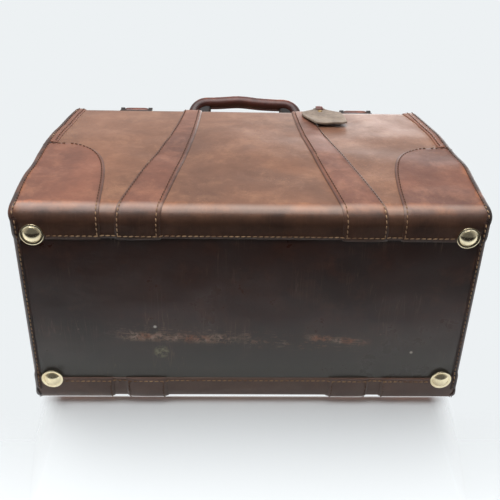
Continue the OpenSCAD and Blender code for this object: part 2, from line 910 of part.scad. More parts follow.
module buckle_shape(grow) {
    reach = buckle_length / 2 - buckle_wire;
    for (x = [-1, 1], y = [-1, 1])
        translate([x * (buckle_inner / 2 - buckle_corner), y * (reach - buckle_corner)])
            circle(r = buckle_corner + grow);
    square([buckle_inner + 2 * grow, 2 * (reach - buckle_corner)], center = true);
    square([buckle_inner - 2 * buckle_corner, 2 * (reach + grow)], center = true);
}

module buckle(side) {
    notch_w = tongue_eye_w + 2 * seat_gap;
    color([0.82, 0.73, 0.48])
    translate([side * strap_x, 0, 0]) {
        difference() {
            on_front_slope(buckle_length / 2 + 0.2) linear_extrude(buckle_t, center = true) difference() {
                buckle_shape(buckle_wire);
                buckle_shape(0);
            }
            at_buckle_bar() cube([notch_w, buckle_wire + 2 * past, buckle_t + past], center = true);
        }
        at_buckle_bar() pin_along_x(bar_d, notch_w + 2);
    }
}

module keeper(side) {
    wall = 1.6;
    room = 0.2;
    inner_w = strap_width + 2 * room;
    inner_h = strap_t + billet_gap + billet_t + 2 * room;
    color([0.38, 0.18, 0.13])
    translate([side * strap_x, keeper_y, strap_over_z - room])
    rotate([90, 0, 0]) linear_extrude(9, center = true) difference() {
        translate([-inner_w / 2 - wall, 0]) square([inner_w + 2 * wall, inner_h + wall]);
        translate([-inner_w / 2, -past]) square([inner_w, inner_h + past]);
    }
}

// Tongue that turns on the buckle's bar and rests on its far side
module buckle_tongue(side) {
    reach = buckle_length - buckle_wire;
    rest_lift = buckle_t / 2 + 0.2 + tongue_d / 2;
    color([0.86, 0.77, 0.5])
    translate([side * strap_x, 0, 0])
    at_buckle_bar() difference() {
        union() {
            pin_along_x(tongue_eye_d, tongue_eye_w);
            rotate([90 - atan2(rest_lift, reach - 2), 0, 0]) cylinder(d = tongue_d, h = reach);
        }
        pin_along_x(bar_d + 2 * pin_clearance, 2 * tongue_eye_w);
    }
}

// Billet from the front anchor, under the buckle's far side, over its bar and back along the strap
module billet(side) {
    over = strap_t / 2 + billet_gap;
    hump = tongue_eye_d / 2 + billet_gap + 0.1;
    under = -buckle_t / 2 - 0.4;
    far_side = buckle_length + 0.2;
    bend = over * tan(strap_angle / 2);
    top = [
        front_point(pin_down, billet_t / 2), front_point(far_side + 2, under),
        front_point(far_side - buckle_wire - 2, under), front_point(buckle_wire + 3, hump + billet_t),
        front_point(-2, hump + billet_t), front_point(-6, over + billet_t),
        [-strap_corner_y - bend, strap_mid_z + over + billet_t],
        [keeper_y + 10, strap_mid_z + over + billet_t]
    ];
    low = [
        [keeper_y + 10, strap_mid_z + over], [-strap_corner_y - bend, strap_mid_z + over],
        front_point(-6, over), front_point(-2, hump), front_point(buckle_wire + 1.6, hump),
        front_point(far_side - buckle_wire - 3, under - billet_t),
        front_point(far_side + 2, under - billet_t),
        front_point(pin_down, -billet_t / 2)
    ];
    color([0.4, 0.19, 0.14])
    translate([side * strap_x, 0, 0])
    difference() {
        union() {
            along_x(strap_width - 4) polygon(concat(top, low));
            at_anchor_pin(-1) pin_along_x(strap_eye_d, strap_width);
        }
        at_anchor_pin(-1) pin_along_x(anchor_pin_d + 2 * pin_clearance, 2 * strap_width);
        on_front_slope(buckle_length / 2 - 2) cube([tongue_eye_w, buckle_length - 11, 14], center = true);
    }
}

// Luggage tag that hangs over the back shoulder

tag_gap = 0.5;
tag_hinge_y = shoulder_y + trim_leather + tag_gap + tag_t / 2;
tag_hinge_z = shoulder_height - 1;
tag_top = 3;
tag_neck = 7;
face_slope = atan2(face_y(shoulder_height - tag_length) - shoulder_y, tag_length);

module luggage_tag() {
    color([0.6, 0.55, 0.5])
    translate([-tag_x, tag_hinge_y, tag_hinge_z]) rotate([face_slope, 0, 0])
    rotate([90, 0, 0]) linear_extrude(tag_t, center = true) difference() {
        polygon([
            [-tag_neck, tag_top], [tag_neck, tag_top], [tag_neck, -1], [tag_width / 2, -14],
            [tag_width / 2, -tag_length + 3], [tag_width / 2 - 3, -tag_length],
            [-tag_width / 2 + 3, -tag_length], [-tag_width / 2, -tag_length + 3],
            [-tag_width / 2, -14], [-tag_neck, -1]
        ]);
        translate([-4.6, -3.5]) square([9.2, 3]);
    }
}

module tag_rivet() {
    color([0.8, 0.7, 0.46])
    translate([-tag_x, tag_hinge_y, tag_hinge_z]) rotate([face_slope, 0, 0])
    translate([0, tag_t / 2, -9]) rotate([-90, 0, 0]) cylinder(d1 = 6, d2 = 4, h = 1);
}

// Thin strap down the back slope, with the loop that goes through the tag's slot
module tag_strap() {
    strap_w = 8;
    thin = 1.1;
    lift = 0.3;
    top_y = jaw_depth + 10;
    loop_in = shoulder_y + 2 * lift;
    loop_out = tag_hinge_y + tag_t / 2 + lift + thin;
    loop_low = tag_hinge_z - 3;
    loop_high = tag_hinge_z + tag_top + 2 * lift + thin;
    function under_z(y) = shoulder_height + lift + (shoulder_y - y) * tan(slope_angle);
    color([0.5, 0.25, 0.18])
    translate([-tag_x, 0, 0]) along_x(strap_w) difference() {
        polygon([
            [top_y, under_z(top_y)],
            [top_y, under_z(top_y) + thin],
            [loop_in, under_z(loop_in) + thin],
            [loop_in, loop_high],
            [loop_out, loop_high],
            [loop_out, loop_low],
            [loop_in, loop_low],
            [loop_in, under_z(loop_in)]
        ]);
        translate([loop_in + thin, loop_low + thin])
            square([loop_out - loop_in - 2 * thin, loop_high - loop_low - 2 * thin]);
    }
}

base_panel();
base_board();
foot_studs();
stud_washers();
face_panel(1);  // back_face
face_panel(-1);  // front_face
end_panel(-1);  // left_end_panel
end_panel(1);  // right_end_panel
top_panel(1);  // back_top_panel
top_panel(-1);  // front_top_panel
gusset(-1);  // left_gusset
gusset(1);  // right_gusset
lining();
inner_pocket();
band(1, -1);  // back_left_band
band(1, 1);  // back_right_band
band(-1, -1);  // front_left_band
band(-1, 1);  // front_right_band
patch(1, -1);  // back_left_patch
patch(1, 1);  // back_right_patch
patch(-1, -1);  // front_left_patch
patch(-1, 1);  // front_right_patch
end_edge_strips();
pivot_brackets();
pivot_pins();
pivot_washers();
jaw(1);  // back_jaw
jaw_cover(1);  // back_jaw_cover
jaw(-1);  // front_jaw
jaw_cover(-1);  // front_jaw_cover
handle_brackets(1);  // back_handle_brackets
handle_pins(1);  // back_handle_pins
handle(1);  // back_handle
handle_brackets(-1);  // front_handle_brackets
handle_pins(-1);  // front_handle_pins
handle(-1);  // front_handle
lock_case();
lock_bolt();
hasp_hinge();
hasp_pin();
hasp();
hasp_staple();
anchors(1);  // strap_anchors
anchor_pins(1);  // strap_anchor_pins
strap(-1);  // left_strap
strap(1);  // right_strap
buckle(-1);  // left_buckle
buckle(1);  // right_buckle
keeper(-1);  // left_keeper
keeper(1);  // right_keeper
buckle_tongue(-1);  // left_buckle_tongue
buckle_tongue(1);  // right_buckle_tongue
anchors(-1);  // billet_anchors
anchor_pins(-1);  // billet_anchor_pins
billet(-1);  // left_billet
billet(1);  // right_billet
tag_strap();
luggage_tag();
tag_rivet();
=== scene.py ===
import json
import math

import bmesh
import bpy
import numpy as np
from mathutils import Matrix, Vector, noise


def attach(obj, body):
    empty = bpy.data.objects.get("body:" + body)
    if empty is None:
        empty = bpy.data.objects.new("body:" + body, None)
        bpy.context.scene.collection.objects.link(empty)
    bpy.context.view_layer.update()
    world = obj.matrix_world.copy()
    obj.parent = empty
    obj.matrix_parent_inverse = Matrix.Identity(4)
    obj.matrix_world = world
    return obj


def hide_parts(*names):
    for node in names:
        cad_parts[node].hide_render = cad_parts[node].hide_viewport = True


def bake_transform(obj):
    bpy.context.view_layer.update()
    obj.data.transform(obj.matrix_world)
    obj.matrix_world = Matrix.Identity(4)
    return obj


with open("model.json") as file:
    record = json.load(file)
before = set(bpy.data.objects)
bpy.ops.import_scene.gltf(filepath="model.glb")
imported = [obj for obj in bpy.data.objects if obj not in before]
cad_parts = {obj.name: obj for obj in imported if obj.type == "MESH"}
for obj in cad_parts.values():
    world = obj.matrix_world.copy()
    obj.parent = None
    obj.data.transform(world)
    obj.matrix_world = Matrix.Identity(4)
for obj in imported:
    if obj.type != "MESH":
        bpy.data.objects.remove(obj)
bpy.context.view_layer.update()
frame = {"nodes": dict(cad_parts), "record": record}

MM = 0.001
FACES = ((1, "back"), (-1, "front"))
SIDES = ((-1, "left"), (1, "right"))


def held(value):
    """The value, held between nought and one."""
    return min(max(value, 0.0), 1.0)


def beside(distance, reach):
    """One on a line, dying away on both sides of it."""
    return math.exp(-(distance / reach) ** 2)


def between(value, stops, amounts):
    """The amount at a value, in even steps from stop to stop."""
    return float(np.interp(value, stops, amounts))


def lengths(spots):
    """How far along a line each of its points is."""
    run = [0.0]
    for p, q in zip(spots, spots[1:]):
        run.append(run[-1] + (Vector(q) - Vector(p)).length)
    return run


# The bag's sizes in millimetres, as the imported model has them
HALF_LENGTH = 220.0
HALF_DEPTH = 110.0
SHOULDER_X = 205.0
SHOULDER_Y = 98.0
SHOULDER_Z = 282.0
FOOT = 6.0
BEND_R = 14.0
BEND_Z = FOOT + BEND_R
END_R = 6.0
CROWN = 3.0
SEAM_Y = 86.0
CORNER_R = 4.5
SHOULDER_ROLL = 3.0
WRAP = HALF_DEPTH - BEND_R - SEAM_Y
BEND_RUN = BEND_R * math.pi / 2
TOP_RUN = WRAP + BEND_RUN + SHOULDER_Z - BEND_Z
TRIM = 1.6
LEATHER = 2.4
COVER_Y = 24.0
COVER_X = 194.0
FRAME_Z = 336.0
SLOPE_TOP = (24.4, 322.5)
GUSSET_X = 197.4
STITCH_PITCH = 5.0


# ---------------------------------------------------------------- finishes

def tone(r, g, b):
    """A colour picked on screen, from 0 to 255, as the shader wants it."""
    linear = [(c / 255 / 12.92) if c <= 10 else ((c / 255 + 0.055) / 1.055) ** 2.4 for c in (r, g, b)]
    return (*linear, 1.0)


class Wire:
    """A socket in a node tree, so that masks can be written as plain sums."""

    def __init__(self, nodes, socket):
        self.nodes = nodes
        self.socket = socket

    def math(self, operation, *values, clamp=False):
        settings = {"operation": operation, "use_clamp": clamp}
        return self.nodes.add("ShaderNodeMath", settings, dict(enumerate(values)))[0]

    def __add__(self, other):
        return self.math("ADD", self, other)

    __radd__ = __add__

    def __sub__(self, other):
        return self.math("SUBTRACT", self, other)

    def __rsub__(self, other):
        return self.math("SUBTRACT", other, self)

    def __mul__(self, other):
        return self.math("MULTIPLY", self, other)

    __rmul__ = __mul__

    def size(self):
        return self.math("ABSOLUTE", self)

    def wave(self):
        return self.math("SINE", self)

    def levels(self, low, high):
        """Nought at low, one at high, held there beyond them."""
        return self.math("MULTIPLY", self - low, 1 / (high - low), clamp=True)

    def greater(self, other):
        return self.math("MAXIMUM", self, other)


class Nodes:
    """An empty node tree, filled node by node."""

    def __init__(self, tree):
        self.tree = tree
        tree.nodes.clear()

    def add(self, kind, settings=None, values=None):
        """A new node: its settings first, then the values or wires of its sockets. Gives its outputs."""
        node = self.tree.nodes.new(kind)
        for key, value in (settings or {}).items():
            setattr(node, key, value)
        for key, value in (values or {}).items():
            self.feed(node.inputs[key], value)
        return [Wire(self, socket) for socket in node.outputs]

    def feed(self, socket, value):
        if isinstance(value, Wire):
            self.tree.links.new(value.socket, socket)
        else:
            socket.default_value = value


class Finish(Nodes):
    """One material. Its patterns lie on the object's own coordinates."""

    def __init__(self, name):
        self.material = bpy.data.materials.new(name)
        self.material.use_nodes = True
        super().__init__(self.material.node_tree)
        self.shader = self.tree.nodes.new("ShaderNodeBsdfPrincipled")
        self.output = self.tree.nodes.new("ShaderNodeOutputMaterial")
        self.tree.links.new(self.shader.outputs[0], self.output.inputs[0])
        self.place = self.add("ShaderNodeTexCoord")[3]

    def set(self, **values):
        for key, value in values.items():
            self.feed(self.shader.inputs[key.replace("_", " ")], value)

    def axes(self):
        return self.add("ShaderNodeSeparateXYZ", None, {0: self.place})

    def turned(self, scale, angle=(0, 0, 0)):
        return self.add("ShaderNodeMapping", None, {0: self.place, 2: angle, 3: scale})[0]

    def cloud(self, scale, detail=4.0, rough=0.55, at=None, twist=0.0):
        values = {"Vector": at or self.place, "Scale": scale, "Detail": detail, "Roughness": rough}
        values["Distortion"] = twist
        return self.add("ShaderNodeTexNoise", None, values)[0]

    def cells(self, scale, feature="F1"):
        values = {"Vector": self.place, "Scale": scale, "Randomness": 1.0}
        return self.add("ShaderNodeTexVoronoi", {"feature": feature}, values)[0]

    def painted(self, name):
        """What paint() has written on the points."""
        return self.add("ShaderNodeAttribute", {"attribute_name": name})[2]

    def mix(self, share, first, second):
        settings = {"data_type": "RGBA", "blend_type": "MIX", "clamp_factor": True}
        return self.add("ShaderNodeMix", settings, {0: share, 6: first, 7: second})[2]

    def relief(self, height, depth, strength=1.0, under=None):
        values = {"Strength": strength, "Distance": depth, "Height": height}
        if under:
            values["Normal"] = under
        return self.add("ShaderNodeBump", None, values)[0]

    def scratches(self, angle, scale, fineness, amount):
        """Fine lines in one direction, broken up so that only a few show."""
        stretched = self.turned((scale, scale * 0.045, scale), angle)
        lines = self.cloud(1.0, 2.0, 0.5, at=stretched, twist=0.15)
        thin = 1 - (lines - 0.5).size().levels(0.0, fineness)
        where = self.cloud(scale * 0.12, 2.0, 0.5).levels(1 - amount - 0.12, 1 - amount + 0.08)
        return thin * where


def leather(name, dark, mid, light, worn, gloss=0.42, coat=0.12, grain=0.35, mottle=1.0, lines=1.0,
            extra=None):
    """Smooth cowhide: clouded dye, pores, creases, rubbed edges, and dirt and painted shade in the seams and
    undersides.
    """
    dark, mid, light, worn = tone(*dark), tone(*mid), tone(*light), tone(*worn)
    f = Finish(name)
    blotch = f.cloud(9.0, 5.0, 0.62, twist=0.35)
    smoke = f.cloud(34.0, 6.0, 0.68, twist=0.2)
    speck = f.cloud(240.0, 3.0, 0.6)
    pores = f.cells(820.0)
    pebble = f.cells(330.0, "DISTANCE_TO_EDGE")
    crease = f.cloud(70.0, 4.0, 0.55, twist=1.4)
    folds = (crease - 0.5).size().levels(0.0, 0.055)
    rub = f.painted("wear")
    dirt_and_shade = f.painted("grime")
    colour = f.mix(blotch.levels(0.36, 0.66) * mottle, mid, dark)
    colour = f.mix(smoke.levels(0.50, 0.78) * (0.62 * mottle), colour, light)
    colour = f.mix(smoke.levels(0.46, 0.24) * (0.5 * mottle), colour, dark)
    colour = f.mix(speck.levels(0.60, 0.72) * 0.30, colour, dark)
    colour = f.mix(f.scratches((0.1, 0.3, 0.55), 260.0, 0.02, 0.42) * (0.30 * lines), colour, light)
    colour = f.mix(f.scratches((0.4, -0.2, -0.9), 300.0, 0.018, 0.40) * (0.30 * lines), colour, dark)
    rubbed = rub * smoke.levels(0.30, 0.62)
    colour = f.mix(rubbed.levels(0.08, 0.85), colour, worn)
    # Dirt and painted shade, as paint() writes them, darken the colour
    colour = f.mix(dirt_and_shade * (0.55 + 0.45 * smoke), colour, tuple(0.32 * c for c in dark[:3]) + (1.0,))
    rough = gloss + 0.16 * blotch.levels(0.3, 0.7) + 0.14 * rubbed - 0.10 * smoke.levels(0.4, 0.7)
    height = 0.55 * pores + 0.35 * pebble.levels(0.0, 0.32) + 0.5 * speck + 0.35 * folds
    waves = f.relief(f.cloud(22.0, 3.0, 0.5), 0.0022, 0.35)
    if extra:
        colour, rough, waves = extra(f, colour, rough, waves)
    f.set(Base_Color=colour, Roughness=rough, Normal=f.relief(height, 0.00016, grain, waves))
    f.set(Coat_Weight=coat, Coat_Roughness=0.22)
    return f.material


# Heights on the bend under the body, in metres: where the painted shade and dirt begin and where they are full,
# the orange rub line, and the painted highlight
SOIL_SHADE_TOP, SOIL_SHADE_FULL = 0.0155, 0.0085
RUB_LINE = 0.0185
BEND_HIGHLIGHT = 0.0165


def low_shade(f, colour, rough, waves):
    """Painted shade and dirt under the bend, where the bag is set down, with an orange rub line above, a
    painted highlight on the bend, a painted reflection paler up the back and a painted reflection of the table
    low on the front.
    """
    x, y, z = f.axes()
    at_back = y.levels(0.0, 0.05)
    ragged = f.cloud(46.0, 5.0, 0.6)
    # Painted shade, with dirt, darkens the hide under the bend, less on the front
    soiled = (z + 0.006 * (ragged - 0.5)).levels(SOIL_SHADE_TOP, SOIL_SHADE_FULL) * (1 - 0.45 * y.levels(0.0, -0.05))
    soil = f.mix(ragged.levels(0.35, 0.7), tone(62, 42, 33), tone(94, 64, 48))
    colour = f.mix(soiled * 0.93, colour, soil)
    streaks = f.cloud(1.0, 3.0, 0.6, at=f.turned((520.0, 60.0, 60.0)))
    colour = f.mix(streaks.levels(0.55, 0.72) * soiled * 0.25, colour, tone(104, 78, 60))
    line = (z - RUB_LINE - 0.012 * (ragged - 0.5)).size().levels(0.0042, 0.0006)
    broken = f.cloud(60.0, 6.0, 0.75).levels(0.44, 0.60)
    rubbed = line * x.levels(0.135, 0.185) * at_back * broken
    colour = f.mix(rubbed * 0.75, colour, tone(186, 104, 56))
    # Painted highlight: a pale grey band along the bend on the back
    bend = (z - BEND_HIGHLIGHT).size().levels(0.0065, 0.001) * at_back * (0.7 + 0.6 * (ragged - 0.5))
    colour = f.mix(bend * 0.42, colour, tone(196, 178, 166))
    # Painted reflection: the back turns paler and greyer towards its top
    colour = f.mix(z.levels(0.10, 0.29) * at_back * 0.14, colour, tone(170, 142, 128))
    # Painted reflection of the table: pale grey low on the front, under the bend
    table_reflection = z.levels(0.022, 0.010) * y.levels(-0.07, -0.09)
    colour = f.mix(table_reflection * (0.35 + 0.5 * ragged), colour, tone(124, 106, 98))
    return colour, rough - 0.08 * soiled, waves


# Scrapes on the base, in metres: x and y of both ends, in the order x, x, y, y, and half the width
LONG_SCRAPE = (0.134, 0.002, -0.0315, -0.0365, 0.0074)
SHORT_SCRAPE = (-0.056, -0.125, -0.0330, -0.0400, 0.0054)
FAINT_SCRAPE = (0.150, -0.125, -0.026, -0.043, 0.013)
# Spots on the base, in metres: x, y and radius
WHITE_SPOT = (0.0935, -0.0205, 0.0021)
PALE_SPOT = (-0.166, -0.052, 0.0019)
STAIN = (0.088, -0.052, 0.0085)


def base_marks(f, colour, rough, waves):
    """The base's own history: a long pale scrape, smaller scuffs, a stain and fine scratches, over a painted
    reflection that greys it towards the front.
    """
    x, y, z = f.axes()
    # Painted reflection of the table: the base greys towards its front edge
    colour = f.mix(y.levels(-0.008, -0.072) * 0.75, colour, tone(100, 99, 94))
    ragged = f.cloud(110.0, 7.0, 0.8, twist=0.5).levels(0.47, 0.55)
    streak = f.cloud(1.0, 4.0, 0.7, at=f.turned((90.0, 520.0, 90.0))).levels(0.50, 0.60)
    under = z.levels(0.009, 0.007)

    def scrape(x0, x1, y0, y1, width):
        along = (x - x0) * (1 / (x1 - x0))
        across = (y - (y0 + (y1 - y0) * along)).size()
        ends = along.levels(0.0, 0.12) * along.levels(1.0, 0.80)
        return ends * across.levels(width, width * 0.25) * under

    long_scrape = scrape(*LONG_SCRAPE) * (ragged * 0.9).greater(streak * 0.6)
    short_scrape = scrape(*SHORT_SCRAPE) * (ragged * 0.9).greater(streak * 0.5)
    faint = scrape(*FAINT_SCRAPE) * ragged * streak * 0.45
    pale = long_scrape.greater(short_scrape).greater(faint)
    hue = f.mix(f.cloud(70.0, 3.0, 0.6).levels(0.4, 0.6), tone(190, 134, 108), tone(222, 194, 174))
    colour = f.mix(pale * 0.9, colour, hue)

    def spot(sx, sy, size):
        dx, dy = (x - sx) * (1 / size), (y - sy) * (1 / size)
        return (dx * dx + dy * dy).levels(1.0, 0.25) * under

    colour = f.mix(spot(*WHITE_SPOT) * 0.95, colour, tone(255, 250, 240))
    colour = f.mix(spot(*PALE_SPOT) * 0.9, colour, tone(236, 226, 210))
    stain = spot(*STAIN) * f.cloud(220.0, 4.0, 0.7).levels(0.44, 0.60)
    colour = f.mix(stain * 0.8, colour, tone(176, 172, 140))
    fine = f.scratches((0.0, 0.0, 1.35), 150.0, 0.012, 0.34)
    fine = fine + f.scratches((0.0, 0.0, 0.4), 130.0, 0.012, 0.30)
    colour = f.mix(fine.levels(0.0, 1.0) * 0.5, colour, tone(150, 124, 108))
    specks = f.cells(95.0).levels(0.10, 0.05) * f.cloud(18.0, 3.0, 0.6).levels(0.55, 0.70)
    colour = f.mix(specks * 0.7, colour, tone(158, 132, 112))
    return colour, rough + 0.35 * pale + 0.15 * fine, waves


# Threads of the weave and turns of the sewing thread, as radians in a metre
WARP, WEFT, TWIST = 5200.0, 4200.0, 5500.0


def cloth(name, main, shade):
    """Plain twill lining, soiled in patches."""
    f = Finish(name)
    x, y, z = f.axes()
    warp = ((x + y) * WARP + z * WARP).wave()
    weft = (z * WEFT).wave()
    weave = 0.5 + 0.25 * warp + 0.25 * weft
    soil = f.cloud(16.0, 5.0, 0.6).levels(0.42, 0.70)
    colour = f.mix(soil * 0.6, main, shade)
    colour = f.mix(weave * 0.25, colour, shade)
    f.set(Base_Color=colour, Roughness=0.88 - 0.08 * soil, Normal=f.relief(weave, 0.00025, 0.5))
    return f.material


def brass(name, bright, dull, gloss=0.20, nicks=1.0):
    """Cast brass, polished by handling, with tarnish in the hollows."""
    f = Finish(name)
    tarnish = f.cloud(55.0, 5.0, 0.65, twist=0.4).levels(0.46, 0.74)
    nick = f.scratches((0.2, 0.5, 0.8), 420.0, 0.02, 0.48)
    colour = f.mix(tarnish * 0.65, bright, dull)
    colour = f.mix(nick * 0.35, colour, tone(245, 232, 196))
    rough = gloss + (0.22 * tarnish + 0.08 * f.cloud(400.0, 3.0, 0.6)) * nicks
    f.set(Base_Color=colour, Metallic=1.0 - 0.12 * nicks * tarnish, Roughness=rough)
    f.set(Normal=f.relief(f.cloud(260.0, 3.0, 0.6) + nick, 0.00008, 0.25 * nicks))
    return f.material


def steel(name):
    """Plain rolled steel, brushed along its length, a little rust in patches."""
    f = Finish(name)
    brush = f.cloud(1.0, 3.0, 0.6, at=f.turned((40.0, 1600.0, 1600.0)))
    rust = f.cloud(38.0, 6.0, 0.7).levels(0.60, 0.76)
    colour = f.mix(brush * 0.5, tone(150, 150, 152), tone(196, 196, 198))
    colour = f.mix(rust * 0.6, colour, tone(108, 70, 46))
    f.set(Base_Color=colour, Metallic=0.95 - 0.5 * rust, Roughness=0.32 + 0.15 * brush + 0.3 * rust)
    f.set(Normal=f.relief(brush, 0.00008, 0.3))
    return f.material


def board(name):
    """Grey-brown pressed board."""
    f = Finish(name)
    fibre = f.cloud(1.0, 5.0, 0.7, at=f.turned((90.0, 420.0, 420.0)))
    f.set(Base_Color=f.mix(fibre, tone(128, 104, 76), tone(164, 140, 108)), Roughness=0.85 - 0.1 * fibre)
    f.set(Normal=f.relief(fibre, 0.0002, 0.4))
    return f.material


def linen_thread(name, pale, soiled, above):
    """Waxed linen thread, twisted, dirtier in places and darkest above the bend."""
    f = Finish(name)
    x, y, z = f.axes()
    twist = ((x + y + z) * TWIST).wave()
    soil = f.cloud(45.0, 4.0, 0.6).levels(0.36, 0.62)
    colour = f.mix(soil, pale, soiled)
    colour = f.mix(twist.levels(0.2, 1.0) * 0.3, colour, soiled)
    kept = f.cloud(70.0, 3.0, 0.6).levels(0.60, 0.68)
    colour = f.mix(z.levels(0.014, 0.024) * (1 - 0.8 * kept), colour, above)
    colour = f.mix(y.levels(-0.0885, -0.0915) * 0.85, colour, above)
    f.set(Base_Color=colour, Roughness=0.7 + 0.1 * soil)
    f.set(Normal=f.relief(twist, 0.0001, 0.5))
    return f.material


BROWN = leather("brown_bridle_leather", (88, 54, 36), (132, 86, 59), (170, 121, 88), (186, 112, 60),
                mottle=0.8, lines=1.5, extra=low_shade)
END_BROWN = leather("end_leather", (62, 38, 28), (98, 60, 42), (136, 90, 64), (160, 100, 62), extra=low_shade)
TRIM_BROWN = leather("trim_leather", (86, 47, 33), (130, 77, 54), (165, 110, 81), (180, 110, 62),
                     extra=low_shade)
EDGE_BROWN = leather("edge_binding_leather", (36, 20, 16), (62, 35, 27), (92, 56, 42), (140, 84, 54))
DARK = leather("base_leather", (46, 26, 20), (68, 40, 31), (94, 58, 45), (120, 74, 50),
               gloss=0.29, coat=0.12, grain=0.22, lines=0.0, extra=base_marks)
RED = leather("handle_leather", (66, 26, 18), (104, 42, 29), (146, 70, 46), (186, 104, 62),
              gloss=0.36, coat=0.15, grain=0.3)
# Near-black leather, darkened to paint the shade under the handles, for the chapes; the strap anchors use it
# too
SHADE_DARKENED_CHAPE = leather("shade_darkened_chape_leather", (20, 12, 11), (34, 20, 17), (50, 30, 25), (90, 54, 40),
                gloss=0.55, coat=0.0, grain=0.3)
TAG_HIDE = leather("tag_leather", (92, 78, 68), (128, 112, 98), (160, 144, 128), (176, 158, 140),
                   gloss=0.6, coat=0.0, grain=0.8)
CLOTH = cloth("drill_lining", tone(150, 132, 102), tone(96, 80, 60))
BRASS = brass("aged_brass", tone(214, 184, 122), tone(128, 98, 56))
STUD_BRASS = brass("stud_brass", tone(250, 236, 200), tone(216, 194, 146), gloss=0.17, nicks=0.35)
TAG_BRASS = brass("tag_brass", tone(150, 124, 82), tone(96, 74, 48), gloss=0.42)
STEEL = steel("frame_steel")
BOARD = board("pressed_board")
THREAD = linen_thread("seam_thread", tone(196, 162, 124), tone(140, 106, 78), tone(88, 58, 42))
DARK_THREAD = linen_thread("base_thread", tone(196, 160, 120), tone(124, 92, 68), tone(124, 92, 68))


# ---------------------------------------------------------------- the body's outline

def share(z):
    """How far up the straight part of the sides a height is."""
    return held((z - BEND_Z) / (SHOULDER_Z - BEND_Z))


def half_depth(z):
    """Half the body's depth at a height, rounded over at the shoulder."""
    s = share(z)
    roll = max(z - SHOULDER_Z + SHOULDER_ROLL, 0.0) / SHOULDER_ROLL
    tuck = SHOULDER_ROLL * (1 - math.sqrt(max(1 - min(roll, 1.0) ** 2, 0.0)))
    return HALF_DEPTH + (SHOULDER_Y - HALF_DEPTH) * s + CROWN * math.sin(math.pi * s) - tuck


def half_length(z):
    """Half the body's length at a height."""
    return HALF_LENGTH + (SHOULDER_X - HALF_LENGTH) * share(z) ** 2


def run_at(z):
    """Distance up the outline from the base seam to a height."""
    if z < BEND_Z:
        return WRAP + BEND_R * math.acos(min((BEND_Z - z) / BEND_R, 1.0))
    return WRAP + BEND_RUN + z - BEND_Z


def level(run, off=0.0):
    """Height, half length and half depth of the outline, run mm up from the base seam."""
    if run < WRAP:
        z, b = FOOT - off, SEAM_Y + run
    elif run < WRAP + BEND_RUN:
        turn = (run - WRAP) / BEND_R
        z = BEND_Z - (BEND_R + off) * math.cos(turn)
        b = HALF_DEPTH - BEND_R + (BEND_R + off) * math.sin(turn)
    else:
        z = BEND_Z + run - WRAP - BEND_RUN
        b = half_depth(z) + off
    low = FOOT + END_R - z
    if low > 0:
        return z, HALF_LENGTH - END_R + math.sqrt(max((END_R + off) ** 2 - low ** 2, 0.0)), b
    return z, half_length(z) + off, b


# The left end swells more, and the leather bulges over the lower front edge, on which the bag rests
LEFT_SWELL = 2.2
FRONT_BULGE = 6.6


def give(p):
    """How the leather has settled: each side swells a little and waves, less near its edges."""
    x, y, z = p
    rise = math.sin(math.pi * held((z - FOOT) / (SHOULDER_Z - FOOT)))
    wave = noise.noise(Vector((x / 95, y / 80, z / 70)))
    small = noise.noise(Vector((x / 38 + 7, y / 38, z / 34)))
    swell_y = rise * (1.0 + 2.4 * wave + 0.8 * small)
    swell_x = rise * (1.6 + 1.8 * wave + 0.8 * small + (LEFT_SWELL if x < 0 else 0.0))
    over_front_edge = FRONT_BULGE * beside(z - 7, 17) * held((abs(y) - 88) / 16) ** 2 if y < 0 else 0.0
    return Vector((
        x + math.copysign(swell_x, x) * abs(x / HALF_LENGTH) ** 5,
        y + math.copysign(swell_y, y) * abs(y / HALF_DEPTH) ** 3 - over_front_edge,
        z,
    ))


def around(s, a, b, r):
    """Point of a rounded oblong, s mm from the middle of its long side."""
    m = abs(s)
    straight = a - r
    if m <= straight:
        x, y = m, b
    elif m <= straight + r * math.pi / 2:
        turn = (m - straight) / r
        x, y = straight + r * math.sin(turn), b - r + r * math.cos(turn)
    else:
        x, y = a, b - r - (m - straight - r * math.pi / 2)
    return math.copysign(x, s), y


def skin(face, s, run, off=0.0):
    """Point on the body leather: s mm along from the middle of a face, run mm up from the base seam."""
    z, a, b = level(run, off)
    x, y = around(s, a, b, CORNER_R + off)
    return give((x, face * y, z))


def edge_s(run, off=0.0):
    """How far along the middle of the upright edge is."""
    r = CORNER_R + off
    return level(run, off)[1] - r + r * math.pi / 4


def curve(points, t):
    """Point of a curve with two end points and two handles."""
    a, b, c, d = points
    u = 1 - t
    return tuple(p * u ** 3 + 3 * q * t * u * u + 3 * r * t * t * u + s * t ** 3
                 for p, q, r, s in zip(a, b, c, d))


def edge_line(points):
    """x of a seam drawn as a curve in x and z, for any height."""
    spots = [curve(points, i / 40) for i in range(41)]
    xs, zs = [p[0] for p in spots], [p[1] for p in spots]
    return lambda z: between(z, zs, xs)


# A trim is thinned to this share of its height at its edge, and reaches all of it this far in
PARED_TO = 0.42
PARED_WIDTH = 4.5


def pared(distance, lift=TRIM):
    """Height of a trim's surface, a distance from its edge."""
    return lift * (PARED_TO + (1 - PARED_TO) * held(distance / PARED_WIDTH) ** 0.6)


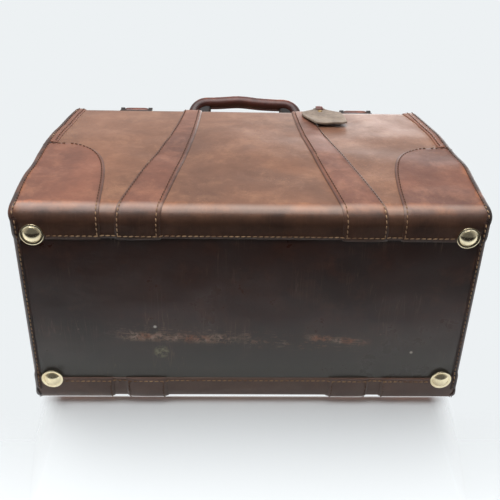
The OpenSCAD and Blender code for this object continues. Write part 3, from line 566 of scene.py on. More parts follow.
# The trims' edges, as x and z, from their foot at the base seam
TRIM_FOOT = 4.4
BAND_FOOT = (84, 126)
BAND_INNER = edge_line([(BAND_FOOT[0], TRIM_FOOT), (76, 59.2), (56, 160.7), (54, SHOULDER_Z)])
BAND_OUTER = edge_line([(BAND_FOOT[1], TRIM_FOOT), (116, 70.5), (82, 169.2), (76, SHOULDER_Z)])
PATCH_FOOT = 139
PATCH_TOP = 158.0
PATCH_EDGE = edge_line([(PATCH_FOOT, TRIM_FOOT), (142, 79), (140, 154), (196, PATCH_TOP)])
PATCH_RETURN = 46.0
STRIP_HALF = 13.0
STRIP_FOOT_RUN = run_at(PATCH_TOP + 1.5)


# ---------------------------------------------------------------- making pieces

def grid(columns, rows, place):
    """A sheet of leather or cloth. place(u, v) gives its points, u and v from 0 to 1."""
    bm = bmesh.new()
    bmesh.ops.create_grid(bm, x_segments=columns, y_segments=rows, size=0.5)
    for v in bm.verts:
        v.co = place(v.co.x + 0.5, v.co.y + 0.5)
    return bm


def aim(bm, middle=(0.0, 0.0, 140.0)):
    """Turns a sheet's faces away from a point inside the piece."""
    bm.normal_update()
    outward = 0.0
    for f in bm.faces:
        outward += (f.calc_center_median() - Vector(middle)).normalized().dot(f.normal) * f.calc_area()
    if outward < 0:
        bmesh.ops.reverse_faces(bm, faces=bm.faces[:])
    return bm


def join(*parts):
    """Several sheets in one."""
    whole = bmesh.new()
    for bm in parts:
        mesh = bpy.data.meshes.new("part")
        bm.to_mesh(mesh)
        bm.free()
        whole.from_mesh(mesh)
        bpy.data.meshes.remove(mesh)
    return whole


def close_up(bm, distance=0.02):
    """Welds points that meet, and takes out the faces that this leaves without an area."""
    bmesh.ops.remove_doubles(bm, verts=bm.verts[:], dist=distance)
    bmesh.ops.dissolve_degenerate(bm, dist=0.001, edges=bm.edges[:])
    return bm


def capped(bm):
    """A sheet rolled into a tube, welded along its seam, its two ends closed."""
    close_up(bm, 0.01)
    bmesh.ops.holes_fill(bm, edges=[e for e in bm.edges if e.is_boundary], sides=0)
    bmesh.ops.recalc_face_normals(bm, faces=bm.faces[:])
    return bm


def shift(bm, by):
    """Moves a piece."""
    bmesh.ops.translate(bm, vec=by, verts=bm.verts[:])
    return bm


def bumpy(p, scale):
    """Soft lumps about as far apart as the scale, from -1 to 1."""
    x, y, z = p
    return noise.noise(Vector((x / scale, y / scale, z / scale)))


def paint(bm, **layers):
    """Writes how worn or dirty each point is, and how deep in painted shade, for the finish to read."""
    for name, amount in layers.items():
        layer = bm.verts.layers.float.get(name) or bm.verts.layers.float.new(name)
        for v in bm.verts:
            v[layer] = held(amount(v.co))
    return bm


PIECES = []


def piece(bm, name, finish, slot, body=None, replaces=(), thick=0.0, ease=0.0, steps=2, crisp=38,
          fold=None):
    """Makes an object of a mesh in mm. thick and ease are modifiers, which put_together() makes final."""
    bmesh.ops.scale(bm, vec=(MM, MM, MM), verts=bm.verts[:])
    mesh = bpy.data.meshes.new(name)
    bm.to_mesh(mesh)
    bm.free()
    obj = bpy.data.objects.new(name, mesh)
    bpy.context.scene.collection.objects.link(obj)
    mesh.materials.append(finish)
    if thick:
        wall = obj.modifiers.new("wall", "SOLIDIFY")
        wall.thickness = thick * MM
        wall.offset = -1.0
    if ease:
        bevel = obj.modifiers.new("ease", "BEVEL")
        bevel.width = ease * MM
        bevel.segments = steps
        bevel.limit_method = "ANGLE"
        bevel.angle_limit = math.radians(50)
        bevel.use_clamp_overlap = True
    PIECES.append((obj, crisp, body, fold, replaces, slot))


def put_together():
    """Makes each piece's thickness and edges final in its mesh, then sets the piece on its body."""
    graph = bpy.context.evaluated_depsgraph_get()
    meshes = [bpy.data.meshes.new_from_object(row[0].evaluated_get(graph)) for row in PIECES]
    for (obj, crisp, body, fold, replaces, slot), mesh in zip(PIECES, meshes):
        rough_mesh = obj.data
        obj.modifiers.clear()
        obj.data = mesh
        bpy.data.meshes.remove(rough_mesh)
        mesh.name = obj.name
        mesh.polygons.foreach_set("use_smooth", [True] * len(mesh.polygons))
        mesh.set_sharp_from_angle(angle=math.radians(crisp))
        if body:
            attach(obj, body)
        if replaces:
            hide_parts(*replaces)
        if fold:
            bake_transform(obj)


def one_stitch():
    """The points and faces of a stitch of unit size."""
    bm = bmesh.new()
    bmesh.ops.create_uvsphere(bm, u_segments=6, v_segments=4, radius=1.0)
    bm.verts.index_update()
    shape = [v.co.copy() for v in bm.verts], [[v.index for v in f.verts] for f in bm.faces]
    bm.free()
    return shape


STITCH_POINTS, STITCH_FACES = one_stitch()
# How far before and after a spot, as a share of its line, the line's direction is measured
STEP = 0.004


def sew(name, body, seams, finish=THREAD, slot="brown_leather", pitch=STITCH_PITCH, length=4.0, width=1.25,
        fold=None):
    """Rows of stitches. Each seam is a function of v and off that gives a point on the leather."""
    points, faces = [], []
    stops = [i / 120 for i in range(121)]
    for seam in seams:
        run = lengths([seam(v, 0.0) for v in stops])
        count = max(int(run[-1] / pitch), 1)
        for k in range(count):
            v = between((k + 0.5) * run[-1] / count, run, stops)
            here = seam(v, 0.0)
            along = (seam(min(v + STEP, 1.0), 0.0) - seam(max(v - STEP, 0.0), 0.0)).normalized()
            out = seam(v, 1.0) - here
            out = (out - along * out.dot(along)).normalized()
            side = out.cross(along)
            lean = 0.10 + 0.05 * math.sin(k * 2.3)
            along = (along + side * lean).normalized()
            side = out.cross(along)
            turn = Matrix((along, side, out)).transposed()
            turn = turn @ Matrix.Diagonal((length / 2, width / 2, width * 0.42))
            first = len(points)
            points.extend(here + out * width * 0.22 + turn @ p for p in STITCH_POINTS)
            faces.extend([first + i for i in f] for f in STITCH_FACES)
    mesh = bpy.data.meshes.new("stitches")
    mesh.from_pydata(points, [], faces)
    bm = bmesh.new()
    bm.from_mesh(mesh)
    bpy.data.meshes.remove(mesh)
    piece(bm, name, finish, slot, body, crisp=80, fold=fold)


def eased(node, name, finish, slot, body, ease, steps=2, shape=None):
    """A CAD node with its sharp edges rounded over, its points moved first where a shape is given."""
    bm = bmesh.new()
    bm.from_mesh(frame["nodes"][node].data)
    bmesh.ops.scale(bm, vec=(1 / MM,) * 3, verts=bm.verts[:])
    bmesh.ops.remove_doubles(bm, verts=bm.verts[:], dist=0.005)
    bmesh.ops.dissolve_limit(bm, angle_limit=math.radians(1), verts=bm.verts[:], edges=bm.edges[:])
    if shape:
        for v in bm.verts:
            v.co = shape(v.co)
    bm.normal_update()
    sharp = [e for e in bm.edges if e.is_manifold and e.calc_face_angle(0) > math.radians(30)]
    bmesh.ops.bevel(bm, geom=sharp, affect="EDGES", offset=ease, offset_type="OFFSET", segments=steps,
                    profile=0.5, material=-1, clamp_overlap=True)
    piece(bm, name, finish, slot, body, (node,), crisp=32)


# ---------------------------------------------------------------- body leather

BODY_HIDE = {"thick": LEATHER, "ease": 0.5}
TRIM_HIDE = {"thick": 1.5, "ease": 0.3}

# Where the lower edge of each face is cut, past the base seam
RAW_EDGE = {1: -4.5, -1: 0.0}


def climb(v, foot, top=TOP_RUN, bend=(0.05, 0.22)):
    """Distance up from the base seam at v, with rows to spare where the leather bends."""
    return between(v, [0, *bend, 1], [foot, WRAP, WRAP + BEND_RUN, top])


def face_leather(face, face_name):
    """A large face, from its cut edge under the base up to the shoulder."""

    def place(u, v):
        run = climb(v, RAW_EDGE[face])
        return skin(face, (2 * u - 1) * edge_s(run), run)

    def wear(p):
        patchy = 0.5 + 0.9 * bumpy(p, 34)
        rubbed_end = 1.0 if p.x > 120 and face > 0 else 0.45
        corner = beside(HALF_LENGTH - abs(p.x), 16)
        return beside(p.z - 15, 11) * patchy * rubbed_end + 0.45 * corner * patchy

    bm = paint(aim(grid(84, 72, place)), wear=wear, grime=lambda p: 0.8 * beside(SHOULDER_Z - p.z, 5))
    piece(bm, f"{face_name}_face_leather", BROWN, "brown_leather", "bag_body", (f"{face_name}_face",),
          **BODY_HIDE)


def end_leather(side, side_name):
    """An end, round both upright edges as far as the faces."""

    def place(u, v):
        run = between(v, [0, 0.12, 1], [WRAP + 3, WRAP + BEND_RUN, TOP_RUN])
        reach = CORNER_R * math.pi / 4 + level(run)[2] - CORNER_R
        face = 1 if u < 0.5 else -1
        part = u / 0.5 if u < 0.5 else (1 - u) / 0.5
        return skin(face, side * (edge_s(run) + part * reach), run)

    def wear(p):
        return 0.7 * beside(p.z - 12, 9) * (0.6 + 0.8 * bumpy(p, 28))

    bm = paint(aim(grid(56, 56, place)), wear=wear, grime=lambda p: 0.7 * beside(SHOULDER_Z - p.z, 6))
    piece(bm, f"{side_name}_end_leather", END_BROWN, "brown_leather", "bag_body",
          (f"{side_name}_end_panel",), **BODY_HIDE)


for face, face_name in FACES:
    face_leather(face, face_name)
for side, side_name in SIDES:
    end_leather(side, side_name)

# The base panel stands this far inside the faces' turned edges, and turns up a little way at each end
BASE_STEP = 0.9
BASE_REACH = HALF_LENGTH - END_R + END_R * math.radians(58)


def base_point(s, y, off=0.0):
    """Point on the base panel, s mm along it from the middle."""
    reach = HALF_LENGTH - END_R
    wave = 0.5 * noise.noise(Vector((s / 60, y / 50, 3.1)))
    wave += 0.25 * noise.noise(Vector((s / 22, y / 20, 9.4)))
    wave *= min((SEAM_Y - abs(y)) / 14, 1.0) * held((reach - abs(s)) / 14)
    r = END_R - BASE_STEP + off
    if abs(s) <= reach:
        return Vector((s, y, FOOT + BASE_STEP - off + wave))
    turn = (abs(s) - reach) / END_R
    return Vector((math.copysign(reach + r * math.sin(turn), s), y, FOOT + END_R - r * math.cos(turn)))


def base_grime(p):
    """Dirt and painted shadow along the two base seams, wider at the back, where the face's cut edge lies."""
    edge = 5.6 if p.y > 0 else 1.5
    return beside(SEAM_Y - edge - abs(p.y), 2.6)


bm = grid(96, 44, lambda u, v: base_point((2 * u - 1) * BASE_REACH, (2 * v - 1) * (SEAM_Y + 2.5)))
paint(aim(bm), grime=base_grime, wear=lambda p: beside(216 - abs(p.x), 5) * (0.35 + 0.7 * bumpy(p, 20)))
piece(bm, "base_leather_panel", DARK, "dark_leather", "bag_body", ("base_panel",), **BODY_HIDE)


# Trims reach this much further under the base than the face they lie on
OVERLAP = 0.6


def trim_z(run):
    """Height at which a trim's edge is read: its foot for all of what lies under the base."""
    return level(run)[0] if run > WRAP else TRIM_FOOT


def band_leather(face, side, corner):
    """A tapered band, from the base seam up to the handle."""

    def place(u, v):
        run = climb(v, RAW_EDGE[face] - OVERLAP)
        inner, outer = BAND_INNER(trim_z(run)), BAND_OUTER(trim_z(run))
        lift = pared(min(u, 1 - u) * 40) + 0.3 * math.sin(math.pi * u)
        return skin(face, side * (inner + (outer - inner) * u), run, lift)

    # Painted shade along the band's edges, full on the pared cut edge, over dirt in its seams
    def grime(p):
        from_inner = abs(p.x) - BAND_INNER(p.z)
        from_outer = abs(p.x) - BAND_OUTER(p.z)
        rim = min(from_inner, -from_outer)
        return max(beside(from_inner, 1.5) + 0.8 * beside(from_outer, 2.0), 1.0 if rim < 0.8 else 0.0)

    bm = paint(aim(grid(14, 84, place)), grime=grime,
               wear=lambda p: 0.6 * beside(p.z - 14, 10) * (0.6 + bumpy(p, 24)))
    piece(bm, f"{corner}_band_leather", TRIM_BROWN, "brown_leather", "bag_body", (f"{corner}_band",),
          **TRIM_HIDE)


def patch_leather(face, side, corner):
    """A curved patch on a bottom corner, carried round onto the end."""
    top = run_at(PATCH_TOP)

    def place(u, v):
        run = climb(v, RAW_EDGE[face] - OVERLAP, top, (0.07, 0.30))
        start = PATCH_EDGE(trim_z(run))
        rise = held((trim_z(run) - 6.5) / 19)
        finish = edge_s(run, TRIM) + 3.0 + (PATCH_RETURN - 3.0) * math.sin(rise * math.pi / 2) ** 1.5
        s = start + (finish - start) * u
        return skin(face, side * s, run, pared(min(s - start, (finish - s) * 0.3, top - run)))

    # Dirt and painted shade along the patch's stitched edge and along its top
    def grime(p):
        seam = 1.2 * beside(abs(p.x) - PATCH_EDGE(p.z), 2.4) if abs(p.y) > 90 else 0.0
        return 0.8 * max(seam, beside(PATCH_TOP - p.z, 2.2))

    def wear(p):
        corner = beside(221 - abs(p.x), 7) * beside(HALF_DEPTH - abs(p.y), 9)
        return (0.8 * corner + 0.75 * beside(p.z - 13, 10)) * (0.55 + 0.9 * bumpy(p, 18))

    bm = paint(close_up(aim(grid(44, 48, place))), grime=grime, wear=wear)
    piece(bm, f"{corner}_patch_leather", TRIM_BROWN, "brown_leather", "bag_body", (f"{corner}_patch",),
          **TRIM_HIDE)


for face, face_name in FACES:
    for side, side_name in SIDES:
        band_leather(face, side, f"{face_name}_{side_name}")
        patch_leather(face, side, f"{face_name}_{side_name}")


def edge_strip(face, side):
    """The strip over an upright edge, a little wider at the top of the left end."""

    def place(u, v):
        run = STRIP_FOOT_RUN + (TOP_RUN - STRIP_FOOT_RUN) * v
        half = STRIP_HALF + (3.5 * max(v - 0.7, 0) / 0.3 if side < 0 else 0.0)
        s = edge_s(run, TRIM) + (2 * u - 1) * half
        return skin(face, side * s, run, pared(min(u, 1 - u) * 2 * half))

    return aim(grid(20, 32, place))


def strip_wear(p):
    edge = 0.6 * beside(abs(p.x) - half_length(p.z), 3) * beside(abs(p.y) - half_depth(p.z), 3)
    return edge * (0.6 + bumpy(p, 22))


strips = [edge_strip(face, side) for face, _ in FACES for side, _ in SIDES]
bm = paint(join(*strips), grime=lambda p: 0.35 * beside(SHOULDER_Z - p.z, 7), wear=strip_wear)
piece(bm, "edge_strip_leather", TRIM_BROWN, "brown_leather", "bag_body", ("end_edge_strips",),
      thick=1.5, ease=0.45)

# The ends' seam allowance, turned over the corners and sewn down all the way round the base
BIND_OFF = TRIM + 0.5
BIND_IN = 7.6


def bind_reach(run):
    """Width of the turned allowance on a face: less under the bend, where it passes outside the studs."""
    return BIND_IN * (0.30 + 0.70 * held((level(run)[0] - 5) / 13))


def base_allowance(side, u, y, off):
    """Point of the allowance along a base end, u across it from the inside out."""
    inner = HALF_LENGTH - BIND_IN + 0.4
    over = TRIM * held((abs(y) - SEAM_Y + 9) / 7)
    p = base_point(side * (inner + (BASE_REACH - inner) * u), y, off + over)
    out = min(max(abs(y) - HALF_DEPTH + BEND_R, 0.0), BEND_R - 0.5)
    return Vector((p.x, p.y, p.z + BEND_R - math.sqrt(BEND_R ** 2 - out ** 2)))


def corner_binding(face, side):
    """The allowance up one edge of a face."""

    def place(u, v):
        run = between(v, [0, 0.2, 1], [run_at(7.6), WRAP + BEND_RUN, TOP_RUN - 1])
        reach = bind_reach(run)
        s = edge_s(run, BIND_OFF) - reach + (reach + 6.0) * u
        return skin(face, side * s, run, pared(min(u, 1 - u) * 12, BIND_OFF))

    return aim(grid(12, 64, place))


def base_binding(side):
    """The allowance along one end of the base."""

    def place(u, v):
        lift = pared(u * 10, 1.3) * min(1.0, 0.5 + (1 - u))
        return base_allowance(side, u, (2 * v - 1) * (SEAM_Y + 16.0), lift)

    return aim(grid(10, 76, place))


bindings = []
for side, _ in SIDES:
    bindings += [corner_binding(face, side) for face, _ in FACES]
    bindings.append(base_binding(side))
bm = paint(join(*bindings), grime=lambda p: 0.5 if p.z < 9 else 0.15,
           wear=lambda p: 0.5 * (0.5 + bumpy(p, 18)))
piece(bm, "corner_binding_leather", EDGE_BROWN, "brown_leather", "bag_body", thick=1.2, ease=0.25)


# ---------------------------------------------------------------- stitching on the body

# How far from the edge of a trim its stitches are
SEAM_IN = 2.6
BASE_SEAM_HALF = 189.0


def rising_seam(face, side, foot, top, s_at, lift=TRIM):
    """A seam that climbs a face. s_at says how far along the face it is, run mm up."""
    def seam(v, off):
        run = foot + (top - foot) * v
        return skin(face, side * s_at(run), run, lift + off)
    return seam


def body_seams(face, side):
    """All the seams on a quarter of the body."""
    start = RAW_EDGE[face] + SEAM_IN

    def patch_s(run):
        z = level(run)[0]
        return PATCH_EDGE(z + 3 * share(z)) + 2.8

    def patch_top(v, off):
        inner = PATCH_EDGE(PATCH_TOP - 0.6)
        run = run_at(PATCH_TOP - 3)
        s = inner + 2 + (edge_s(run, TRIM) + PATCH_RETURN - 4 - inner) * v
        return skin(face, side * s, run, TRIM + off)

    def binding_s(run):
        clear_of_stud = 1.2 * held((12 - level(run)[0]) / 3.4)
        return edge_s(run, BIND_OFF) - bind_reach(run) * 0.72 + clear_of_stud

    def band_seam(edge, inset):
        return rising_seam(face, side, start, TOP_RUN - 4, lambda run: edge(level(run)[0]) + inset, TRIM + 0.35)

    def strip_seam(inset):
        return rising_seam(face, side, STRIP_FOOT_RUN + 3, TOP_RUN - 3, lambda run: edge_s(run, TRIM) + inset)

    return [
        band_seam(BAND_INNER, 4.0),
        band_seam(BAND_OUTER, -SEAM_IN),
        rising_seam(face, side, start, run_at(PATCH_TOP - 3), patch_s),
        patch_top,
        rising_seam(face, side, run_at(26), run_at(PATCH_TOP - 4),
                    lambda run: edge_s(run, TRIM) + PATCH_RETURN - 3),
        rising_seam(face, side, run_at(8.6), TOP_RUN - 3, binding_s, BIND_OFF),
        strip_seam(-STRIP_HALF + SEAM_IN),
        strip_seam(STRIP_HALF - SEAM_IN),
    ]


def base_seam(face):
    """The long seam under a face, which steps up over the bands and the patches."""
    def seam(v, off):
        s = BASE_SEAM_HALF * (2 * v - 1)
        on_band = held((abs(s) - BAND_FOOT[0] + 1) / 2) * held((BAND_FOOT[1] + 1 - abs(s)) / 2)
        on_trim = max(on_band, held((abs(s) - PATCH_FOOT + 1) / 2))
        return skin(face, s, RAW_EDGE[face] + 3.2, 0.35 + (TRIM - 0.25) * on_trim + off)
    return seam


def base_end_seam(side):
    """The seam across one end of the base."""
    return lambda v, off: base_allowance(side, 0.27, (2 * v - 1) * (SEAM_Y + 15.0), 1.35 + off)


for face, face_name in FACES:
    sew(f"{face_name}_stitches", "bag_body", body_seams(face, -1) + body_seams(face, 1))
    sew(f"{face_name}_base_seam_stitches", "bag_body", [base_seam(face)], DARK_THREAD, "dark_leather",
        pitch=5.4, length=4.7, width=1.45)
sew("base_end_stitches", "bag_body", [base_end_seam(-1), base_end_seam(1)], DARK_THREAD, "dark_leather")


# ---------------------------------------------------------------- studs

STUD_X = 201.0
DOME_R = 11.8
STUD_TOP = 4.4
dome = [(r, 0.02 + DOME_R - math.sqrt(DOME_R ** 2 - r * r)) for r in (0, 1, 2, 3, 4, 5, 6, 6.8, 7.5, 8.1)]
flange = [(8.3, 3.5), (8.9, 3.35), (9.6, 3.15), (10.4, 3.15), (10.85, 3.4), (11.0, 3.8), (11.0, STUD_TOP)]
shank = [(2.5, STUD_TOP), (2.5, 12.6), (0, 12.6)]


def spun(profile, at=(0, 0, 0), steps=40):
    """A turned piece: the profile, as radius and height, spun round an upright axis."""
    bm = bmesh.new()
    verts = [bm.verts.new((r, 0.0, z)) for r, z in profile]
    edges = [bm.edges.new(pair) for pair in zip(verts, verts[1:])]
    bmesh.ops.spin(bm, geom=verts + edges, cent=(0, 0, 0), axis=(0, 0, 1), angle=2 * math.pi, steps=steps,
                   use_merge=True)
    close_up(bm, 0.001)
    bmesh.ops.recalc_face_normals(bm, faces=bm.faces[:])
    return shift(bm, at)


studs = [spun(dome + flange + shank, (x * STUD_X, y * SEAM_Y, 0.0)) for x in (-1, 1) for y in (-1, 1)]
piece(join(*studs), "domed_foot_studs", STUD_BRASS, "stud_brass", "bag_body", ("foot_studs",), crisp=35)


# ---------------------------------------------------------------- lining and pocket

CLOTH_OFF = -4.0
FLOOR_HALF = (211, 100)
FLOOR_Z = 14.2
POCKET_HALF = 100
POCKET_FOOT = 110
POCKET_DEEP = 110


def lining_wall(u, v):
    run = between(v, [0, 0.06, 1], [WRAP + 13.2, WRAP + BEND_RUN, TOP_RUN - 1])
    z, a, b = level(run, CLOTH_OFF)
    z = max(z, FLOOR_Z - 0.2)
    turn = 2 * math.pi * (u - 0.5)
    c, s = math.cos(turn), math.sin(turn)
    squareness = 0.16
    x = math.copysign(abs(s) ** squareness, s) * a
    y = math.copysign(abs(c) ** squareness, c) * b
    puff = 1.0 + 0.8 * noise.noise(Vector((x / 45, y / 45, z / 50)))
    puff_x, puff_y = math.copysign(puff, x), math.copysign(puff, y)
    return Vector((x - puff_x * abs(x / a) ** 4, y - puff_y * abs(y / b) ** 4, z))


def lining_floor(u, v):
    ripple = 0.3 * bumpy((u * 400, v * 200, 0), 40)
    return Vector(((2 * u - 1) * FLOOR_HALF[0], (2 * v - 1) * FLOOR_HALF[1], FLOOR_Z + ripple))


def pocket_place(u, v):
    z = POCKET_FOOT + POCKET_DEEP * v
    x = -POCKET_HALF + 2 * POCKET_HALF * u
    edge = min(u, 1 - u, v * 0.55) / 0.06
    fullness = 1.6 + 0.9 * math.sin(math.pi * u) * (0.4 + 0.6 * v) + 0.5 * bumpy((x, 0, z), 26)
    return Vector((x, half_depth(z) - 6.4 - min(edge, 1.0) * fullness, z))


def pocket_side_seam(x):
    """A seam up one side of the pocket."""
    def seam(v, off):
        z = POCKET_FOOT + 2 + (POCKET_DEEP - 6) * v
        return Vector((x, half_depth(z) - 7.3 - off, z))
    return seam


def pocket_foot_seam(v, off):
    z = POCKET_FOOT + 3
    return Vector(((POCKET_HALF - 2) * (2 * v - 1), half_depth(z) - 7.2 - off, z))


bm = join(close_up(grid(160, 30, lining_wall), 0.05), grid(30, 16, lining_floor))
bmesh.ops.recalc_face_normals(bm, faces=bm.faces[:])
piece(bm, "drill_lining", CLOTH, "lining_cloth", "bag_body", ("lining",), thick=0.5)
bm = aim(grid(60, 34, pocket_place), (0, 200, 160))
piece(bm, "lining_pocket", CLOTH, "lining_cloth", "bag_body", ("inner_pocket",), thick=0.7, ease=0.2)
sew("pocket_stitches", "bag_body", [pocket_foot_seam, pocket_side_seam(-97), pocket_side_seam(97)],
    slot="lining_cloth", length=2.6, width=0.8, pitch=4.0)


# ---------------------------------------------------------------- top: slopes, gussets, jaw covers

SLOPE_FOOT_Y = SHOULDER_Y - SHOULDER_ROLL
# The two lines between which a slope folds as its jaw opens, in metres, on the back
FOLD_START = (0, 0.086, 0.2886)
FOLD_END = (0, 0.0255, 0.3215)
COVER_ROLL = 5.0
COVER_FLAT = COVER_Y - COVER_ROLL
COVER_FOOT_Z = 316
COVER_SEAM_HALF = 190


def top_width(v, shoulder, jaw):
    """Half the length of the top at v, from the shoulder up to the jaw. It is reached before the jaw."""
    return shoulder + (jaw - SHOULDER_X) * min(v * 1.4, 1.0)


def slope_point(face, u, v, off=0.0):
    """Point on a top slope: u along the bag, v from the shoulder up to the jaw."""
    y = SLOPE_FOOT_Y + (SLOPE_TOP[0] - SLOPE_FOOT_Y) * v
    z = SHOULDER_Z + (SLOPE_TOP[1] - SHOULDER_Z) * v
    x = (2 * u - 1) * top_width(v, SHOULDER_X - 2.2, GUSSET_X - 0.4)
    sag = math.sin(math.pi * v) * (2.0 + 1.6 * noise.noise(Vector((x / 60, face * 3.0, v * 1.5))))
    sag *= held((v - 0.25) / 0.2) * min(min(u, 1 - u) / 0.05, 1.0)
    lift = off - sag
    slope = math.atan2(SLOPE_TOP[1] - SHOULDER_Z, SHOULDER_Y - SLOPE_TOP[0])
    return Vector((x, face * (y + lift * math.sin(slope)), z + lift * math.cos(slope)))


def slope_leather(face, face_name):
    """A sloping top panel and its row of stitches along the shoulder."""
    bm = aim(grid(84, 22, lambda u, v: slope_point(face, u, v)), (0, 0, 250))
    paint(bm, grime=lambda p: 0.8 * beside(abs(p.y) - 25, 4) + 0.6 * beside(p.z - 283, 2.5))
    start = (0, face * FOLD_START[1], FOLD_START[2])
    end = (0, face * FOLD_END[1], FOLD_END[2])
    fold = ("bag_body", f"{face_name}_jaw_half", start, end)
    piece(bm, f"{face_name}_slope_leather", BROWN, "brown_leather", None, (f"{face_name}_top_panel",),
          fold=fold, **BODY_HIDE)
    sew(f"{face_name}_shoulder_stitches", None,
        [lambda v, off: slope_point(face, 0.02 + 0.96 * v, 0.045, off + 0.1)], fold=fold)


def gusset_fold(face, face_name, side, side_name):
    """Half of the soft triangle that closes an end of the top."""

    def place(u, v):
        y_out = SLOPE_FOOT_Y + (COVER_Y - SLOPE_FOOT_Y) * v - 1.0
        z_out = SHOULDER_Z + 0.4 + (FRAME_Z - 5 - SHOULDER_Z) * v ** 0.92
        z_in = SHOULDER_Z + 0.4 + 22 * v
        x_out = top_width(v, SHOULDER_X - 1.0, GUSSET_X - 0.6)
        x_in = x_out - 4.0 * v
        bulge = 1.5 * math.sin(math.pi * u) * math.sin(math.pi * v)
        x = x_in + (x_out - x_in) * u + bulge
        return Vector((side * x, face * y_out * u, z_in + (z_out - z_in) * u))

    bm = aim(grid(16, 22, place), (0, 0, 300))
    paint(bm, grime=lambda p: 0.9 * beside(p.y, 3))
    fold = ("bag_body", f"{face_name}_jaw_half", (0, 0, 0.300), (0, face * 0.022, 0.326))
    piece(bm, f"{side_name}_gusset_{face_name}_fold", DARK, "dark_leather", None, (f"{side_name}_gusset",),
          thick=2.0, ease=0.4, fold=fold)


cover_line = [(0.5, FRAME_Z - 0.2), (6, FRAME_Z), (13, FRAME_Z), (COVER_FLAT, FRAME_Z)]
for turn in np.radians([15, 30, 45, 60, 75, 90]):
    rolled_out, rolled_down = COVER_ROLL * math.sin(turn), COVER_ROLL * (1 - math.cos(turn))
    cover_line.append((COVER_FLAT + rolled_out, FRAME_Z - rolled_down))
cover_line += [(COVER_Y, 327), (COVER_Y, 323), (COVER_Y, 319.5), (COVER_Y - 0.1, COVER_FOOT_Z)]
cover_run = lengths(cover_line)


def cover_point(face, x, part, off=0.0):
    """Point on a jaw's cover: x along it, part from the lips round to the lower edge."""
    run = part * cover_run[-1]
    y = between(run, cover_run, [p[0] for p in cover_line])
    z = between(run, cover_run, [p[1] for p in cover_line])
    turn = held((run - 18) / 9) * math.pi / 2
    return Vector((x, face * (y + off * math.sin(turn)), z + off * math.cos(turn)))


def jaw_leather(face, face_name):
    """The leather over a jaw, with its row of stitches near the lower edge."""

    def place(u, v):
        x = between(u, [0, 0.012, 0.03, 0.97, 0.988, 1],
                    [-COVER_X, -193.2, -COVER_SEAM_HALF, COVER_SEAM_HALF, 193.2, COVER_X])
        p = cover_point(face, x, v)
        droop = 0.9 if u in (0.0, 1.0) else 0.0
        ripple = 0.15 * bumpy((x, p.y, p.z), 14)
        return Vector((p.x, p.y - face * (droop + ripple) * min(abs(p.y) / COVER_Y, 1), p.z - droop * 0.6))

    bm = aim(grid(110, 26, place), (0, face * 10, 322))
    paint(bm, wear=lambda p: 0.7 * beside(p.z - FRAME_Z + 3, 3.5) * (0.55 + bumpy(p, 26)),
          grime=lambda p: 0.8 * beside(p.z - COVER_FOOT_Z, 1.6))
    def seam(v, off):
        return cover_point(face, COVER_SEAM_HALF * (2 * v - 1), 0.945, off + 0.05)

    body = f"{face_name}_jaw_half"
    piece(bm, f"{face_name}_jaw_leather", RED, "red_leather", body, (f"{face_name}_jaw_cover",), **BODY_HIDE)
    sew(f"{face_name}_jaw_stitches", body, [seam], slot="red_leather")


for face, face_name in FACES:
    slope_leather(face, face_name)
    for side, side_name in SIDES:
        gusset_fold(face, face_name, side, side_name)
for face, face_name in FACES:
    jaw_leather(face, face_name)


# ---------------------------------------------------------------- handles

HANDLE_PIN = (32.9, 330.0)
HANDLE_LEAN = math.radians(40)
HANDLE_RISE = 60.0
HANDLE_SPAN = 136.0
HANDLE_BEND = 18.0
CHAPE_WIDTH = 30.0
CHAPE_HALF_THICK = 2.5
# Half the roll's thickness in the handle's plane and across it, from its middle (0) to the pins (1)
ROLL_STOPS = [0, 0.35, 0.62, 0.78, 0.9, 0.97, 1.0]
ROLL_WITHIN = [7.6, 7.4, 7.0, 6.4, 8.0, 8.9, 8.4]
ROLL_ACROSS = [7.6, 7.4, 6.9, 5.4, 5.6, 6.3, 5.4]


def hump(x, face):
    """The roll has lost its straightness: a rise left of the middle, and one end lower."""
    if face < 0:
        return 1.2 * math.cos(min(abs(x) / 60, 1) * math.pi / 2)
    return 2.4 * beside(x - 8, 22) - 1.6 * held((8 - x) / 50)


def handle_line(v, face):
    """Middle of the roll in the handle's own plane: x along the bag, h out from the pins."""
    leg = HANDLE_RISE - HANDLE_BEND + 2.0
    bend = HANDLE_BEND * math.pi / 2
    flat = HANDLE_SPAN / 2 - HANDLE_BEND
    total = leg + bend + flat
    run = abs(2 * v - 1) * total
    side = 1 if v > 0.5 else -1
    if run < flat:
        return side * run, HANDLE_RISE + hump(side * run, face), run / total
    if run < flat + bend:
        a = (run - flat) / HANDLE_BEND
        x = side * (flat + HANDLE_BEND * math.sin(a))
        rise = hump(side * flat, face) * max(math.cos(a), 0)
        return x, HANDLE_RISE - HANDLE_BEND * (1 - math.cos(a)) + rise, run / total
    return side * HANDLE_SPAN / 2, HANDLE_RISE - HANDLE_BEND - (run - flat - bend), run / total


def handle_axes(face):
    """A handle's pins, the way up its legs and the way across them."""
    sin, cos = math.sin(HANDLE_LEAN), math.cos(HANDLE_LEAN)
    pins = Vector((0, face * HANDLE_PIN[0], HANDLE_PIN[1]))
    return pins, Vector((0, face * sin, cos)), Vector((0, face * cos, -sin))


def handle_frame(v, face):
    """Middle of the roll at v, the ways in and across there, and how far it is towards the pins."""
    pins, up, wide = handle_axes(face)
    x, h, out = handle_line(v, face)
    before = handle_line(max(v - STEP / 2, 0.0), face)
    after = handle_line(min(v + STEP / 2, 1.0), face)
    along = Vector((after[0] - before[0], 0, after[1] - before[1])).normalized()
    return Vector((x, 0, 0)) + up * h + pins, Vector((along.z, 0, 0)) - up * along.x, wide, out


